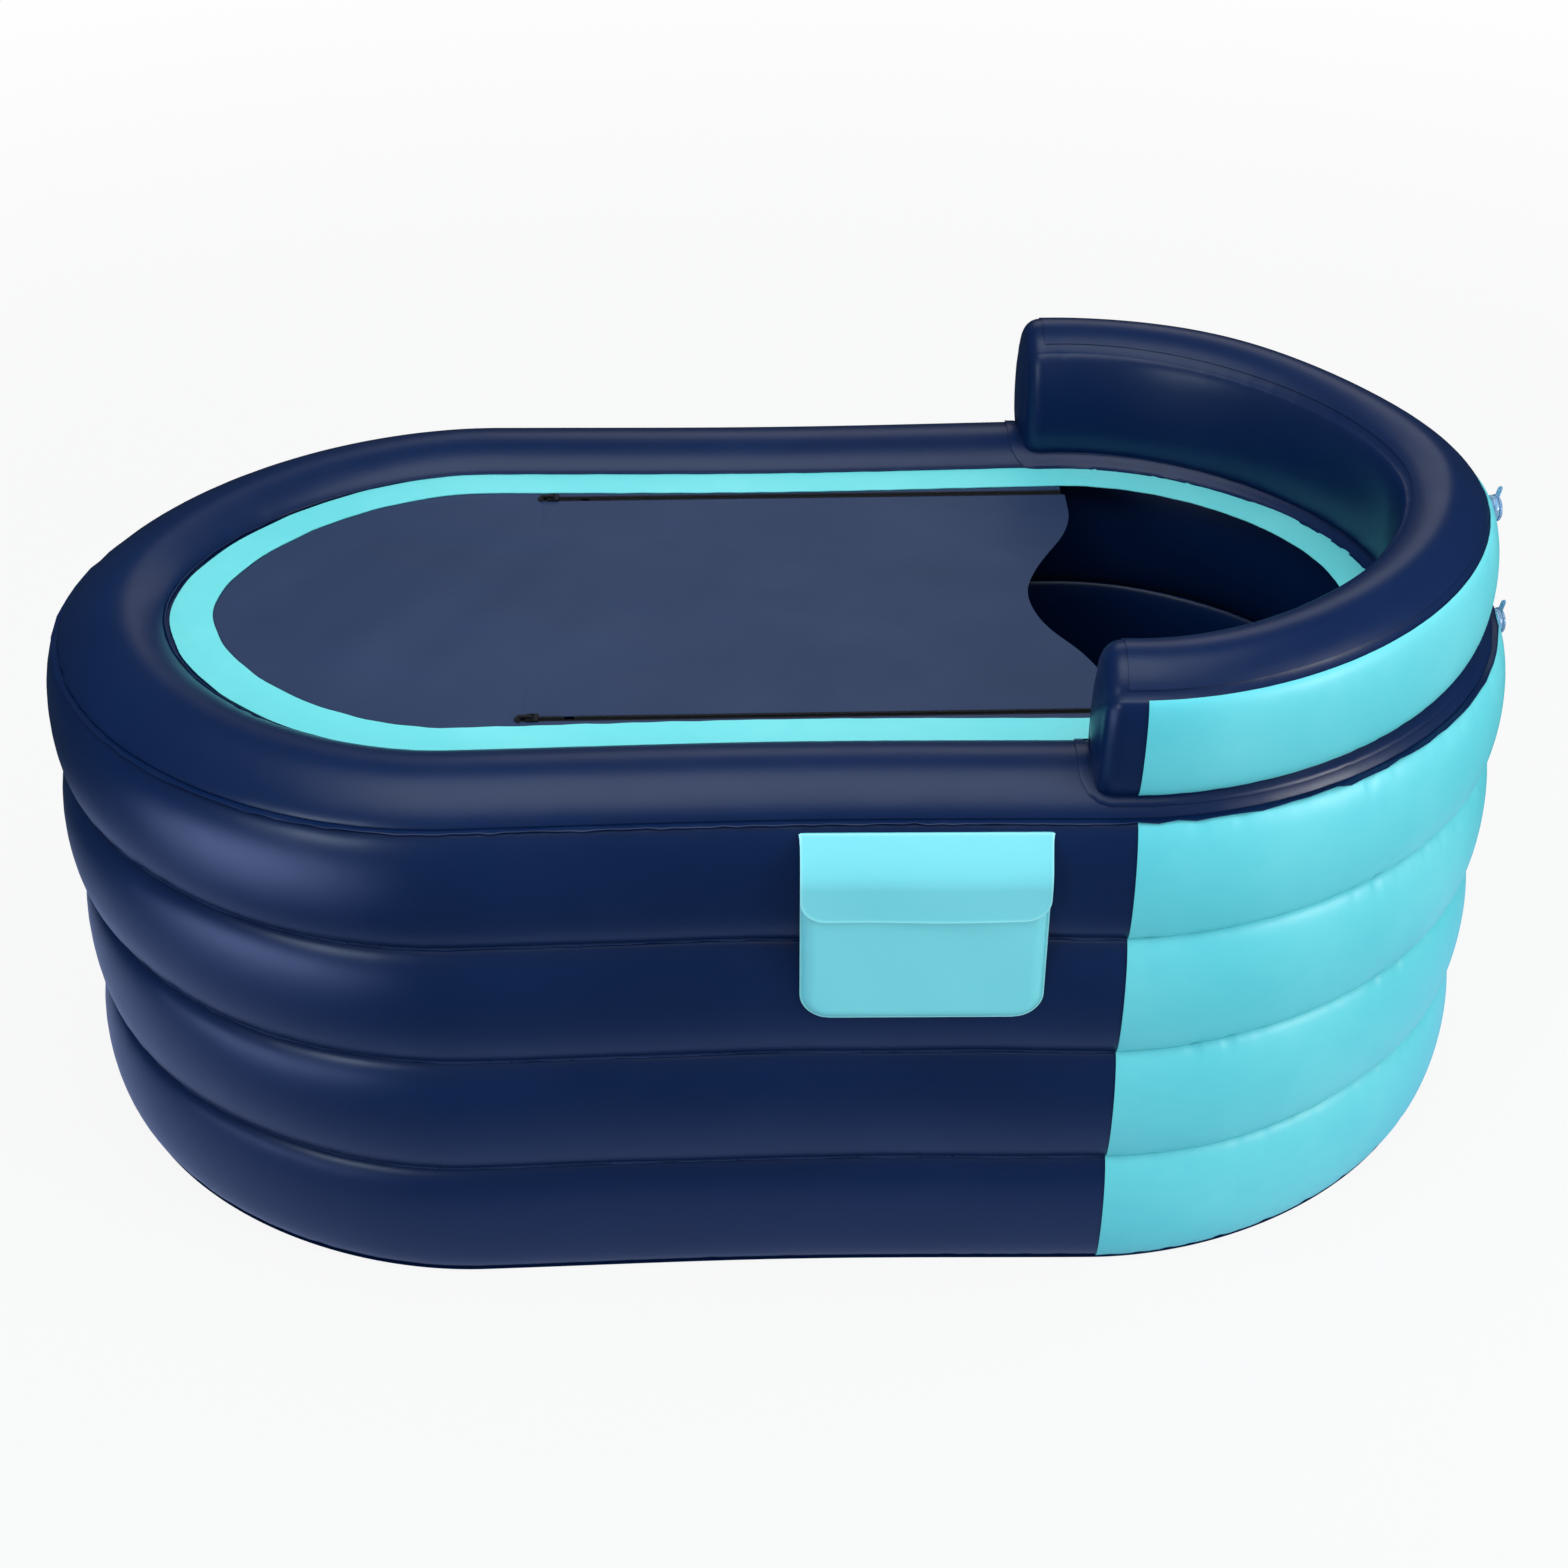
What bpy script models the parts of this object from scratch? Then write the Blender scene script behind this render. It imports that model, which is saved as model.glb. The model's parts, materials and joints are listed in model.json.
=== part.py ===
"""Inflatable bathtub: four stacked ring chambers, a curved backrest, a zip-up cover and a pocket.

The head end is at +X and the front, with the pocket, at -Y. The floor is at z = 0.
Lengths are in metres. A section is a list of (offset, height) points: the offset is measured
outwards from the inner edge of the rim, and the height from the floor.
"""
import bpy
import bmesh
from math import cos, exp, hypot, pi, radians, sin, sqrt
from mathutils import Matrix, Vector

# Whole tub
tub_length = 1.600
tub_width = 0.860
fit_gap = 0.0003
sheet = 0.0010

# Plan of the rim's inner edge
end_length = 0.320
end_exponent = 1.82
side_draw_in = 0.009
side_draw_reach = 0.300
plan_point_count = 48
plan_dense_count = 400
smooth_angle = 35.0
weld_angle = 0.1

# Ring chambers
ring_count = 4
ring_height = 0.149
wall_width = 0.127
ring_bulge = 0.019
inner_bulge = 0.012
bulge_step_count = 6
inner_step_count = 2
weld_lip = 0.0045
panel_edge_angle = 76.0
colour_seam_reach = 0.011

# Top of the rim
rim_seam_width = 0.121
rim_seam_drop = 0.010
rim_crown = 0.030
rim_crown_power = 0.7
rim_step_count = 8
rim_ledge = 0.0085
rim_weld_width = 0.0070
rim_weld_seat = 0.0008

# Base and floor cushion
base_lip = 0.006
cushion_clearance = 0.018
cushion_edge_height = 0.022
cushion_crown = 0.040
cushion_channel_count = 5
cushion_channel_depth = 0.018
cushion_channel_steps = 4
cushion_length_steps = 26
cushion_reach_share = 0.985

# Backrest
arm_end_set_back = 0.036
backrest_inner_offset = 0.016
backrest_outer_offset = 0.103
backrest_outer_seam_offset = 0.096
backrest_outer_seam_rise = 0.126
backrest_inner_seam_offset = 0.013
backrest_inner_seam_rise = 0.137
backrest_side_bulge = 0.013
backrest_crown = 0.026
backrest_end_radius = 0.020
backrest_end_segments = 3
backrest_end_angle = 62.0
backrest_weld_radius = 0.0018
backrest_weld_stand_off = 0.0052
backrest_seam_inset = 0.0015

# Cover
border_width = 0.0375
border_lap = 0.008
cover_fold_run = 0.044
flap_edge_reach = 0.004
scoop_depth = 0.066
scoop_shoulder = 0.034
scoop_step_count = 16

# Zips
zip_inset = 0.0550
zip_foot_set_back = 0.068
zip_head_reach = 0.002
coil_width = 0.0042
coil_rise = 0.0028
coil_gap = 0.0016
tape_width = 0.0120
fold_clearance = 0.010
slider_length = 0.0130
slider_wall = 0.0012
slider_rim = 0.0011
slider_relief = 0.0002
slider_park = 0.0050
post_width = 0.0010
ear_width = 0.0010
ear_length = 0.0036
ear_height = 0.0024
pin_radius = 0.0006
pin_rise = 0.0013
pin_play = 0.0002
pull_length = 0.0150
pull_width = 0.0040
pull_thickness = 0.0011
pull_end_steps = 6
pin_segments = 12

# Pocket
pocket_set_back = 0.198
pocket_width = 0.244
pocket_top_drop = 0.008
pocket_height = 0.213
pocket_corner_radius = 0.031
pocket_depth = 0.0110
pocket_edge_round = 0.014
pocket_seat = 0.0010
pocket_mouth_drop = 0.030
pocket_flap_swell = 0.022
pocket_flap_steps = 5
pocket_flap_height = 0.076
pocket_flap_corner = 0.014
pocket_corner_count = 6
pocket_column_shares = (-1.0, -0.97, -0.93, -0.88, -0.45, 0.0, 0.45, 0.88, 0.93, 0.97, 1.0)
pad_length = 0.040
pad_height = 0.012
pad_thickness = 0.0008
pad_rise = 0.010

# Air valves
valve_flange_radius = 0.0210
valve_collar_radius = 0.0175
valve_collar_taper = 0.0015
valve_collar_height = 0.0140
valve_neck_radius = 0.0120
valve_neck_height = 0.0090
valve_rim_radius = 0.0145
valve_rim_height = 0.0060
valve_bore_radius = 0.0065
valve_bore_depth = 0.0160
valve_plan_index = 0
valve_cap_radius = 0.0150
valve_cap_thickness = 0.0030
valve_plug_length = 0.0045
valve_hinge_reach = 0.0205
valve_tab_length = 0.0110
valve_tab_width = 0.0090

# Valve of the floor cushion
low_valve_place_share = -0.4615
low_valve_flange_radius = 0.0140
low_valve_collar_radius = 0.0105
low_valve_taper = 0.0005
low_valve_collar_height = 0.0012
low_valve_neck_radius = 0.0090
low_valve_neck_height = 0.0008
low_valve_rim_radius = 0.0100
low_valve_rim_height = 0.0014
low_valve_bore_radius = 0.0050
low_valve_bore_depth = 0.0032
low_valve_cap_radius = 0.0100
low_valve_cap_thickness = 0.0014
low_valve_plug_length = 0.0018
low_valve_hinge_reach = 0.0145
low_valve_tab_length = 0.0050
low_valve_tab_width = 0.0060

# Drain
drain_set_back = 0.034
drain_flange_radius = 0.0260
drain_collar_radius = 0.0180
drain_taper = 0.0010
drain_collar_height = 0.0060
drain_neck_radius = 0.0135
drain_neck_height = 0.0150
drain_rim_radius = 0.0150
drain_rim_height = 0.0040
drain_bore_radius = 0.0105
drain_bore_depth = 0.0190
drain_cap_radius = 0.0160
drain_cap_thickness = 0.0030
drain_plug_length = 0.0060
drain_hinge_reach = 0.0215
drain_tab_length = 0.0080
drain_tab_width = 0.0090
inlet_height = 0.0055
inlet_rim_radius = 0.0160
inlet_bore_depth = 0.0045
stopper_radius = 0.0150
stopper_thickness = 0.0025
stopper_plug_length = 0.0035
stopper_knob_radius = 0.0045
stopper_knob_height = 0.0070

# Straps and caps of every valve
fitting_step_count = 12
strap_width = 0.0060
strap_thickness = 0.0012
lug_height_share = 0.7
plug_play = 0.0007
cap_edge_round = 0.0006

# Heights and widths that follow from the sizes above
wall_offset = wall_width + ring_bulge
inner_half_length = tub_length / 2 - wall_offset
inner_half_width = tub_width / 2 - wall_offset
straight_half = inner_half_length - end_length
colour_seam_x = straight_half + colour_seam_reach
arm_end_x = straight_half - arm_end_set_back
pocket_x = straight_half - pocket_set_back
zip_y = inner_half_width - zip_inset
zip_foot_x = zip_foot_set_back - straight_half
zip_head_x = straight_half + zip_head_reach
cover_fold_x = zip_foot_x + cover_fold_run
flap_edge_x = zip_head_x + flap_edge_reach
drain_x = drain_set_back - straight_half
base_top = sheet
web_space = sheet + 2 * fit_gap
rim_height = ring_count * ring_height
rim_seam_height = rim_height - rim_seam_drop
panel_top = rim_height - fit_gap
panel_middle = panel_top - sheet / 2
tape_top = panel_top - sheet - fit_gap
coil_top = tape_top + coil_rise
coil_reach = coil_gap / 2 + coil_width
slider_top = coil_top + fit_gap + slider_wall
cushion_top = base_top + fit_gap + cushion_edge_height + cushion_crown

navy = (0.010, 0.024, 0.110)
cover_navy = (0.030, 0.052, 0.150)
aqua = (0.110, 0.640, 0.760)
border_aqua = (0.190, 0.830, 0.860)
zip_black = (0.012, 0.014, 0.018)
valve_blue = (0.250, 0.520, 0.820)


def empty_scene():
    """Remove every object and make the collections for the parts and for the guides."""
    for old in list(bpy.data.objects):
        bpy.data.objects.remove(old, do_unlink=True)
    made = []
    for name in ("inflatable_bathtub", "guides"):
        group = bpy.data.collections.new(name)
        bpy.context.scene.collection.children.link(group)
        made.append(group)
    return made


parts, guides = empty_scene()


def material(name, colour, roughness, alpha=1.0):
    """A plain Principled material with one colour."""
    made = bpy.data.materials.new(name)
    made.use_nodes = True
    shader = made.node_tree.nodes["Principled BSDF"]
    shader.inputs["Base Color"].default_value = (*colour, 1.0)
    shader.inputs["Roughness"].default_value = roughness
    shader.inputs["Metallic"].default_value = 0.0
    shader.inputs["Alpha"].default_value = alpha
    made.diffuse_color = (*colour, alpha)
    return made


navy_vinyl = material("navy_vinyl", navy, 0.32)
cover_vinyl = material("cover_vinyl", cover_navy, 0.50)
aqua_vinyl = material("aqua_vinyl", aqua, 0.34)
border_vinyl = material("border_vinyl", border_aqua, 0.40)
zip_plastic = material("zip_plastic", zip_black, 0.50)
valve_vinyl = material("valve_vinyl", valve_blue, 0.22, 0.75)


def part(name, data, look):
    """Add an object to the parts, with its material."""
    made = bpy.data.objects.new(name, data)
    parts.objects.link(made)
    if not data.materials:
        data.materials.append(look)
    return made


def guide(name, data):
    """Add an object that only shapes others."""
    made = bpy.data.objects.new(name, data)
    guides.objects.link(made)
    made.hide_render = True
    made.display_type = "WIRE"
    return made


def axis_empty(name, place, pieces):
    """Put the pieces under an empty that stands on their joint's axis."""
    empty = bpy.data.objects.new(name, None)
    parts.objects.link(empty)
    empty.matrix_world = place
    for piece in pieces:
        piece.parent = empty
        piece.matrix_parent_inverse = place.inverted()
    return empty


def mesh_from(name, shape, smooth=True):
    """Turn a bmesh into a mesh."""
    mesh = bpy.data.meshes.new(name)
    shape.to_mesh(mesh)
    shape.free()
    if smooth:
        mesh.shade_smooth()
        mesh.set_sharp_from_angle(angle=radians(smooth_angle))
    return mesh


def as_mesh(source, look):
    """Replace a curve object by its mesh, with the caps welded."""
    bpy.context.view_layer.update()
    seen = bpy.context.evaluated_depsgraph_get()
    mesh = bpy.data.meshes.new_from_object(source.evaluated_get(seen))
    shape = bmesh.new()
    shape.from_mesh(mesh)
    bmesh.ops.remove_doubles(shape, verts=shape.verts, dist=fit_gap / 10)
    bmesh.ops.dissolve_limit(shape, angle_limit=radians(weld_angle), verts=shape.verts, edges=shape.edges)
    shape.to_mesh(mesh)
    shape.free()
    name = source.name
    place = source.matrix_world.copy()
    bpy.data.objects.remove(source, do_unlink=True)
    mesh.materials.clear()
    made = part(name, mesh, look)
    made.name = name
    made.matrix_world = place
    return made


def lerp(low, high, share):
    """The value that lies a share of the way from low to high."""
    return low + (high - low) * share


# The plan: points along the rim's inner edge

def half_plan():
    """Dense points from the head tip round the rear side to the foot tip."""
    head = []
    for step in range(plan_dense_count + 1):
        angle = pi / 2 * step / plan_dense_count
        x = straight_half + end_length * cos(angle) ** (2 / end_exponent)
        y = inner_half_width * sin(angle) ** (2 / end_exponent)
        head.append((x, y))
    side = []
    for step in range(1, plan_dense_count):
        side.append((lerp(straight_half, -straight_half, step / plan_dense_count), inner_half_width))
    foot = [(-x, y) for x, y in reversed(head)]
    return [(x, drawn_in(x, y)) for x, y in head + side + foot]


def drawn_in(x, y):
    """Pull the long sides in at the middle of the tub."""
    pull = side_draw_in * exp(-((x / side_draw_reach) ** 2))
    return y * (1 - pull / inner_half_width)


def evenly(points, count):
    """Pick count + 1 points at equal steps along a dense line."""
    lengths = [0.0]
    for (ax, ay), (bx, by) in zip(points, points[1:]):
        lengths.append(lengths[-1] + hypot(bx - ax, by - ay))
    picked = []
    at = 0
    for step in range(count + 1):
        target = lengths[-1] * step / count
        while at < len(points) - 2 and lengths[at + 1] < target:
            at += 1
        span = lengths[at + 1] - lengths[at]
        share = (target - lengths[at]) / span
        picked.append((lerp(points[at][0], points[at + 1][0], share),
                       lerp(points[at][1], points[at + 1][1], share)))
    return picked


def full_plan():
    """The closed plan, anticlockwise from the head tip."""
    half = evenly(half_plan(), plan_point_count // 2)
    return half + [(x, -y) for x, y in reversed(half[1:-1])]


plan = full_plan()


def plan_from(cut_x):
    """The head end of the plan, from the front side round the tip to the rear side."""
    half = plan[:plan_point_count // 2 + 1]
    kept = [half[0]]
    for here, after in zip(half, half[1:]):
        if after[0] <= cut_x:
            share = (here[0] - cut_x) / (here[0] - after[0])
            kept.append((cut_x, lerp(here[1], after[1], share)))
            break
        kept.append(after)
    return [(x, -y) for x, y in reversed(kept[1:])] + kept


def offset_loop(points, distance):
    """Move a closed anticlockwise outline outwards, keeping its sides parallel."""
    moved = []
    for before, here, after in zip(points[-1:] + points[:-1], points, points[1:] + points[:1]):
        into = Vector((here[0] - before[0], here[1] - before[1])).normalized()
        away = Vector((after[0] - here[0], after[1] - here[1])).normalized()
        middle = (into + away).normalized()
        normal = Vector((middle.y, -middle.x))
        scale = distance / max(normal.dot(Vector((into.y, -into.x))), 0.2)
        moved.append((here[0] + normal.x * scale, here[1] + normal.y * scale))
    return moved


def half_width_at(x, offset):
    """Half the width of the plan at x, moved outwards by an offset."""
    loop = offset_loop(plan, offset)
    half = loop[:plan_point_count // 2 + 1]
    for here, after in zip(half, half[1:]):
        if after[0] <= x <= here[0]:
            return lerp(here[1], after[1], (here[0] - x) / (here[0] - after[0]))
    return 0.0


# Curves, sweeps and plates

def line_curve(name, points, closed):
    """A curve with straight steps through 2D or 3D points."""
    curve = bpy.data.curves.new(name, "CURVE")
    curve.dimensions = "3D"
    curve.twist_mode = "Z_UP"
    spline = curve.splines.new("POLY")
    spline.points.add(len(points) - 1)
    for knot, place in zip(spline.points, points):
        knot.co = (*place, 0.0, 1.0) if len(place) == 2 else (*place, 1.0)
    spline.use_cyclic_u = closed
    spline.use_smooth = True
    return curve


def sweep(name, path, section, closed, look):
    """Carry a section, given anticlockwise, along a plan path."""
    outline = line_curve(name + "_section", list(reversed(section)), True)
    outline.dimensions = "2D"
    outline.fill_mode = "NONE"
    curve = line_curve(name, path, closed)
    curve.bevel_mode = "OBJECT"
    curve.bevel_object = guide(name + "_section", outline)
    curve.use_fill_caps = not closed
    return part(name, curve, look)


def plate(name, outline, thickness, look):
    """A flat outline with a thickness, centred on its plane."""
    curve = line_curve(name, outline, True)
    curve.dimensions = "2D"
    curve.fill_mode = "BOTH"
    curve.extrude = thickness / 2
    return part(name, curve, look)


def offset_line(points, distance):
    """Move an open section line to its left by a distance."""
    moved = []
    for index, here in enumerate(points):
        before = Vector(points[max(index - 1, 0)])
        after = Vector(points[min(index + 1, len(points) - 1)])
        into = (Vector(here) - before).normalized()
        away = (after - Vector(here)).normalized()
        if index == 0:
            into = away
        if index == len(points) - 1:
            away = into
        middle = (into + away).normalized()
        normal = Vector((-middle.y, middle.x))
        scale = distance / max(normal.dot(Vector((-into.y, into.x))), 0.3)
        moved.append((here[0] + normal.x * scale, here[1] + normal.y * scale))
    return moved


def skin(line):
    """The section of a thin sheet that lies outside a line that runs anticlockwise."""
    near = offset_line(line, -fit_gap)
    far = offset_line(line, -fit_gap - sheet)
    return far + list(reversed(near))


# Sections of the wall

def bulged(low, high, bulge, step_count=bulge_step_count):
    """A line from low to high that swells sideways by bulge, like half an ellipse."""
    angles = [-90.0]
    for step in range(step_count + 1):
        angles.append(lerp(-panel_edge_angle, panel_edge_angle, step / step_count))
    angles.append(90.0)
    line = []
    for angle in map(radians, angles):
        share = (1 + sin(angle)) / 2
        line.append((lerp(low[0], high[0], share) + bulge * cos(angle), lerp(low[1], high[1], share)))
    return line


def ring_levels(index):
    """The bottom and top height of one ring chamber."""
    low = ring_height * index + web_space / 2
    high = ring_height * (index + 1) - web_space / 2
    if index == 0:
        low = base_top + fit_gap
    if index == ring_count - 1:
        high = rim_seam_height - rim_weld_seat
    return low, high


def ring_side(index):
    """The outer side line of one ring, from its bottom to its top."""
    low, high = ring_levels(index)
    top_offset = rim_seam_width if index == ring_count - 1 else wall_width
    return bulged((wall_width, low), (top_offset, high), ring_bulge)


def rim_line():
    """The top of the uppermost chamber, from its outer seam to the ledge at the inner edge."""
    start = (rim_seam_width, rim_seam_height + rim_weld_seat)
    end = (rim_ledge, rim_height - fit_gap)
    line = []
    for step in range(rim_step_count + 1):
        share = (1 - cos(pi * step / rim_step_count)) / 2
        crown = rim_crown * sin(pi * share) ** rim_crown_power
        line.append((lerp(start[0], end[0], share), lerp(start[1], end[1], share) + crown))
    return line


def ring_section(index):
    """The closed section of one ring chamber."""
    low, high = ring_levels(index)
    if index < ring_count - 1:
        inner = bulged((0.0, high), (0.0, low), -inner_bulge, inner_step_count)
        return ring_side(index) + inner
    inner = bulged((0.0, rim_height - fit_gap), (0.0, low), -inner_bulge, inner_step_count)
    return ring_side(index) + rim_line() + inner


def rim_top_height(offset):
    """The height of the top panel's upper face at an offset."""
    line = offset_line(rim_line(), -fit_gap - sheet)
    for (ao, az), (bo, bz) in zip(line, line[1:]):
        if bo <= offset <= ao:
            return lerp(az, bz, (ao - offset) / (ao - bo))
    return line[0][1]


def rectangle(left, right, low, high):
    """A closed box section, anticlockwise."""
    return [(left, low), (right, low), (right, high), (left, high)]


# The wall

def build_base():
    """The flat bottom sheet that the lowest ring is welded to."""
    outline = offset_loop(plan, wall_width + base_lip)
    base = plate("base_sheet", outline, sheet, navy_vinyl)
    base.location.z = sheet / 2


def build_rings():
    """The four air chambers, their aqua head panels and the webs between them."""
    head = plan_from(colour_seam_x)
    for index in range(ring_count):
        number = index + 1
        sweep(f"ring_{number}_chamber", plan, ring_section(index), True, navy_vinyl)
        panel = skin(ring_side(index)[1:-1])
        sweep(f"ring_{number}_head_panel", head, panel, False, aqua_vinyl)
        if index:
            middle = ring_height * index
            web = rectangle(weld_lip, wall_width + weld_lip, middle - sheet / 2, middle + sheet / 2)
            sweep(f"ring_web_{index}", plan, web, True, aqua_vinyl)


def build_rim():
    """The top panel of the uppermost ring and the crimped weld round its outer seam."""
    top = rim_line()[1:-1]
    sweep("rim_top_panel", plan, skin(top), True, navy_vinyl)
    left = rim_seam_width + fit_gap
    weld = rectangle(left, left + rim_weld_width, rim_seam_height - sheet / 2, rim_seam_height + sheet / 2)
    sweep("rim_outer_weld", plan, weld, True, navy_vinyl)


# Floor cushion

def cushion_half_width(x):
    """Half the cushion's width at x."""
    return half_width_at(x, -cushion_clearance - inner_bulge)


def cushion_reach(loop):
    """Half the cushion's length."""
    return max(x for x, _ in loop) * cushion_reach_share


def cushion_height(along, across):
    """The height of the cushion's top at shares of its half length and half width."""
    rounding = sqrt(max(0.0, (1 - along ** 4) * (1 - across ** 4)))
    channel = abs(sin((across + 1) / 2 * cushion_channel_count * pi))
    rise = cushion_crown - cushion_channel_depth * (1 - sqrt(channel))
    return cushion_top - cushion_crown + rise * rounding


def build_floor_cushion():
    """A flat air mattress with welded channels along it."""
    columns = cushion_channel_count * cushion_channel_steps
    loop = offset_loop(plan, -cushion_clearance - inner_bulge)
    reach = cushion_reach(loop)
    shape = bmesh.new()
    bmesh.ops.create_grid(shape, x_segments=cushion_length_steps, y_segments=columns, size=1.0)
    for corner in shape.verts:
        along = sin(corner.co.x * pi / 2)
        across = corner.co.y
        x = reach * along
        y = across * cushion_half_width(x)
        corner.co = (x, y, cushion_height(along, across))
    edges = shape.edges[:]
    made = bmesh.ops.extrude_face_region(shape, geom=shape.faces[:] + edges)
    lower = [item for item in made["geom"] if isinstance(item, bmesh.types.BMVert)]
    for corner in lower:
        corner.co.z = base_top + fit_gap
    flat = [face for face in shape.faces if all(corner in set(lower) for corner in face.verts)]
    bmesh.ops.dissolve_faces(shape, faces=flat)
    bmesh.ops.recalc_face_normals(shape, faces=shape.faces[:])
    part("floor_cushion", mesh_from("floor_cushion", shape), navy_vinyl)


# Backrest

def backrest_lines():
    """The backrest's outer side, top and inner side lines, anticlockwise."""
    outer_low = (backrest_outer_offset, rim_top_height(backrest_outer_offset) + fit_gap)
    outer_seam = (backrest_outer_seam_offset, rim_height + backrest_outer_seam_rise)
    inner_seam = (backrest_inner_seam_offset, rim_height + backrest_inner_seam_rise)
    inner_low = (backrest_inner_offset, rim_top_height(backrest_inner_offset) + fit_gap)
    outer = bulged(outer_low, outer_seam, backrest_side_bulge)
    top = []
    for step in range(bulge_step_count + 1):
        share = step / bulge_step_count
        crown = backrest_crown * sin(pi * share) ** rim_crown_power
        top.append((lerp(outer_seam[0], inner_seam[0], share), lerp(outer_seam[1], inner_seam[1], share) + crown))
    inner = bulged(inner_seam, inner_low, -backrest_side_bulge)
    return outer, top, inner


def backrest_seat():
    """The underside, which follows the rim's top panel, from the inner side to the outer side."""
    line = offset_line(rim_line(), -2 * fit_gap - sheet)
    return [(o, z) for o, z in reversed(line) if backrest_inner_offset < o < backrest_outer_offset]


def build_backrest():
    """The curved chamber on the rim round the head end, with its outer and top panels."""
    outer, top, inner = backrest_lines()
    section = outer + top[1:-1] + inner + backrest_seat()
    path = plan_from(arm_end_x)
    chamber = as_mesh(sweep("backrest_chamber", path, section, False, navy_vinyl), navy_vinyl)
    rounded = chamber.modifiers.new("arm_ends", "BEVEL")
    rounded.width = backrest_end_radius
    rounded.segments = backrest_end_segments
    rounded.limit_method = "ANGLE"
    rounded.angle_limit = radians(backrest_end_angle)
    side = outer[1:-1]
    sweep("backrest_outer_panel", plan_from(colour_seam_x), skin(side), False, aqua_vinyl)
    cap = top[1:-1]
    start = arm_end_x + backrest_end_radius + backrest_seam_inset
    sweep("backrest_top_panel", plan_from(start), skin(cap), False, navy_vinyl)


def build_backrest_weld():
    """The weld bead that runs round the backrest's foot on the rim's top panel."""
    lift = backrest_weld_radius + fit_gap
    out = backrest_outer_offset + backrest_weld_stand_off
    inside = backrest_inner_offset - backrest_weld_stand_off
    line = offset_line(rim_line(), -2 * fit_gap - sheet - backrest_weld_radius)
    crossing = [(o, z) for o, z in line if inside < o < out]
    crossing = [(out, height_at_offset(line, out))] + crossing + [(inside, height_at_offset(line, inside))]
    start = arm_end_x - backrest_weld_stand_off
    path = plan_from(start)
    places = []
    for (x, y), normal in zip(path, path_normals(path)):
        places.append((x + normal.x * out, y + normal.y * out, crossing[0][1]))
    for o, z in crossing[1:-1]:
        places.append((start, path[-1][1] + o, z))
    for (x, y), normal in reversed(list(zip(path, path_normals(path)))):
        places.append((x + normal.x * inside, y + normal.y * inside, crossing[-1][1]))
    for o, z in reversed(crossing[1:-1]):
        places.append((start, path[0][1] - o, z))
    curve = line_curve("backrest_weld", places, True)
    curve.bevel_depth = backrest_weld_radius
    curve.bevel_resolution = 1
    part("backrest_weld", curve, navy_vinyl)


def height_at_offset(line, offset):
    """The height of a section line at an offset."""
    for (ao, az), (bo, bz) in zip(line, line[1:]):
        if bo <= offset <= ao:
            return lerp(az, bz, (ao - offset) / (ao - bo))
    return line[-1][1] if offset < line[-1][0] else line[0][1]


def path_normals(path):
    """The outward direction at each point of an open plan path."""
    normals = []
    for index in range(len(path)):
        ax, ay = path[max(index - 1, 0)]
        bx, by = path[min(index + 1, len(path) - 1)]
        normals.append(Vector((by - ay, ax - bx)).normalized())
    return normals


# Cover

def build_cover():
    """The aqua border, the fixed foot panel and the flap between the zips."""
    border = rectangle(-border_width, rim_ledge - 2 * fit_gap, rim_height, rim_height + sheet)
    sweep("cover_border", plan, border, True, border_vinyl)
    foot = plate("cover_foot_panel", foot_outline(), sheet, cover_vinyl)
    foot.location.z = panel_middle
    flap = plate("cover_flap", flap_outline(), sheet, cover_vinyl)
    flap.location.z = panel_middle
    return flap


def foot_outline():
    """The fixed panel: round at the foot, with a strip outside each zip."""
    loop = offset_loop(plan, border_lap - border_width)
    strip_y = zip_y + coil_gap / 2 + coil_width + fit_gap
    rear = [(x, y) for x, y in loop if y > 0 and x < zip_head_x]
    front = [(x, y) for x, y in loop if y < 0 and x < zip_head_x]
    tip = [(x, y) for x, y in loop if abs(y) < fit_gap and x < 0]
    end_y = half_width_at(zip_head_x, border_lap - border_width)
    slot_y = zip_y - coil_gap / 2 - coil_width - fit_gap
    slot_foot = zip_foot_x - fit_gap
    rear_edge = [(zip_head_x, strip_y), (zip_head_x, end_y)]
    front_edge = [(zip_head_x, -end_y), (zip_head_x, -strip_y)]
    front_slot = [(slot_foot, -strip_y), (slot_foot, -slot_y), (cover_fold_x - fit_gap, -slot_y)]
    rear_slot = [(cover_fold_x - fit_gap, slot_y), (slot_foot, slot_y), (slot_foot, strip_y)]
    return rear_edge + rear + tip + front + front_edge + front_slot + rear_slot


def flap_outline():
    """The moving panel: straight beside the zips, with a scooped edge at the head."""
    side_y = zip_y - coil_gap / 2 - coil_width - fit_gap
    edge = []
    for step in range(scoop_step_count + 1):
        y = lerp(-side_y, side_y, step / scoop_step_count)
        near = min(abs(y) / (side_y - scoop_shoulder), 1.0)
        edge.append((flap_edge_x - scoop_depth * (1 + cos(pi * near)) / 2, y))
    return [(cover_fold_x, side_y), (cover_fold_x, -side_y)] + edge


# Zips

def zip_half_section(side):
    """The section of one zip half, in (y, z) about the zip's centre line, seen from the head."""
    near = side * coil_gap / 2
    bead = side * (coil_gap / 2 + coil_width)
    far = side * (coil_gap / 2 + tape_width)
    low = tape_top - sheet
    line = [(near, low), (far, low), (far, tape_top), (bead, tape_top), (bead, coil_top), (near, coil_top)]
    return line if side > 0 else list(reversed(line))


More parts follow.
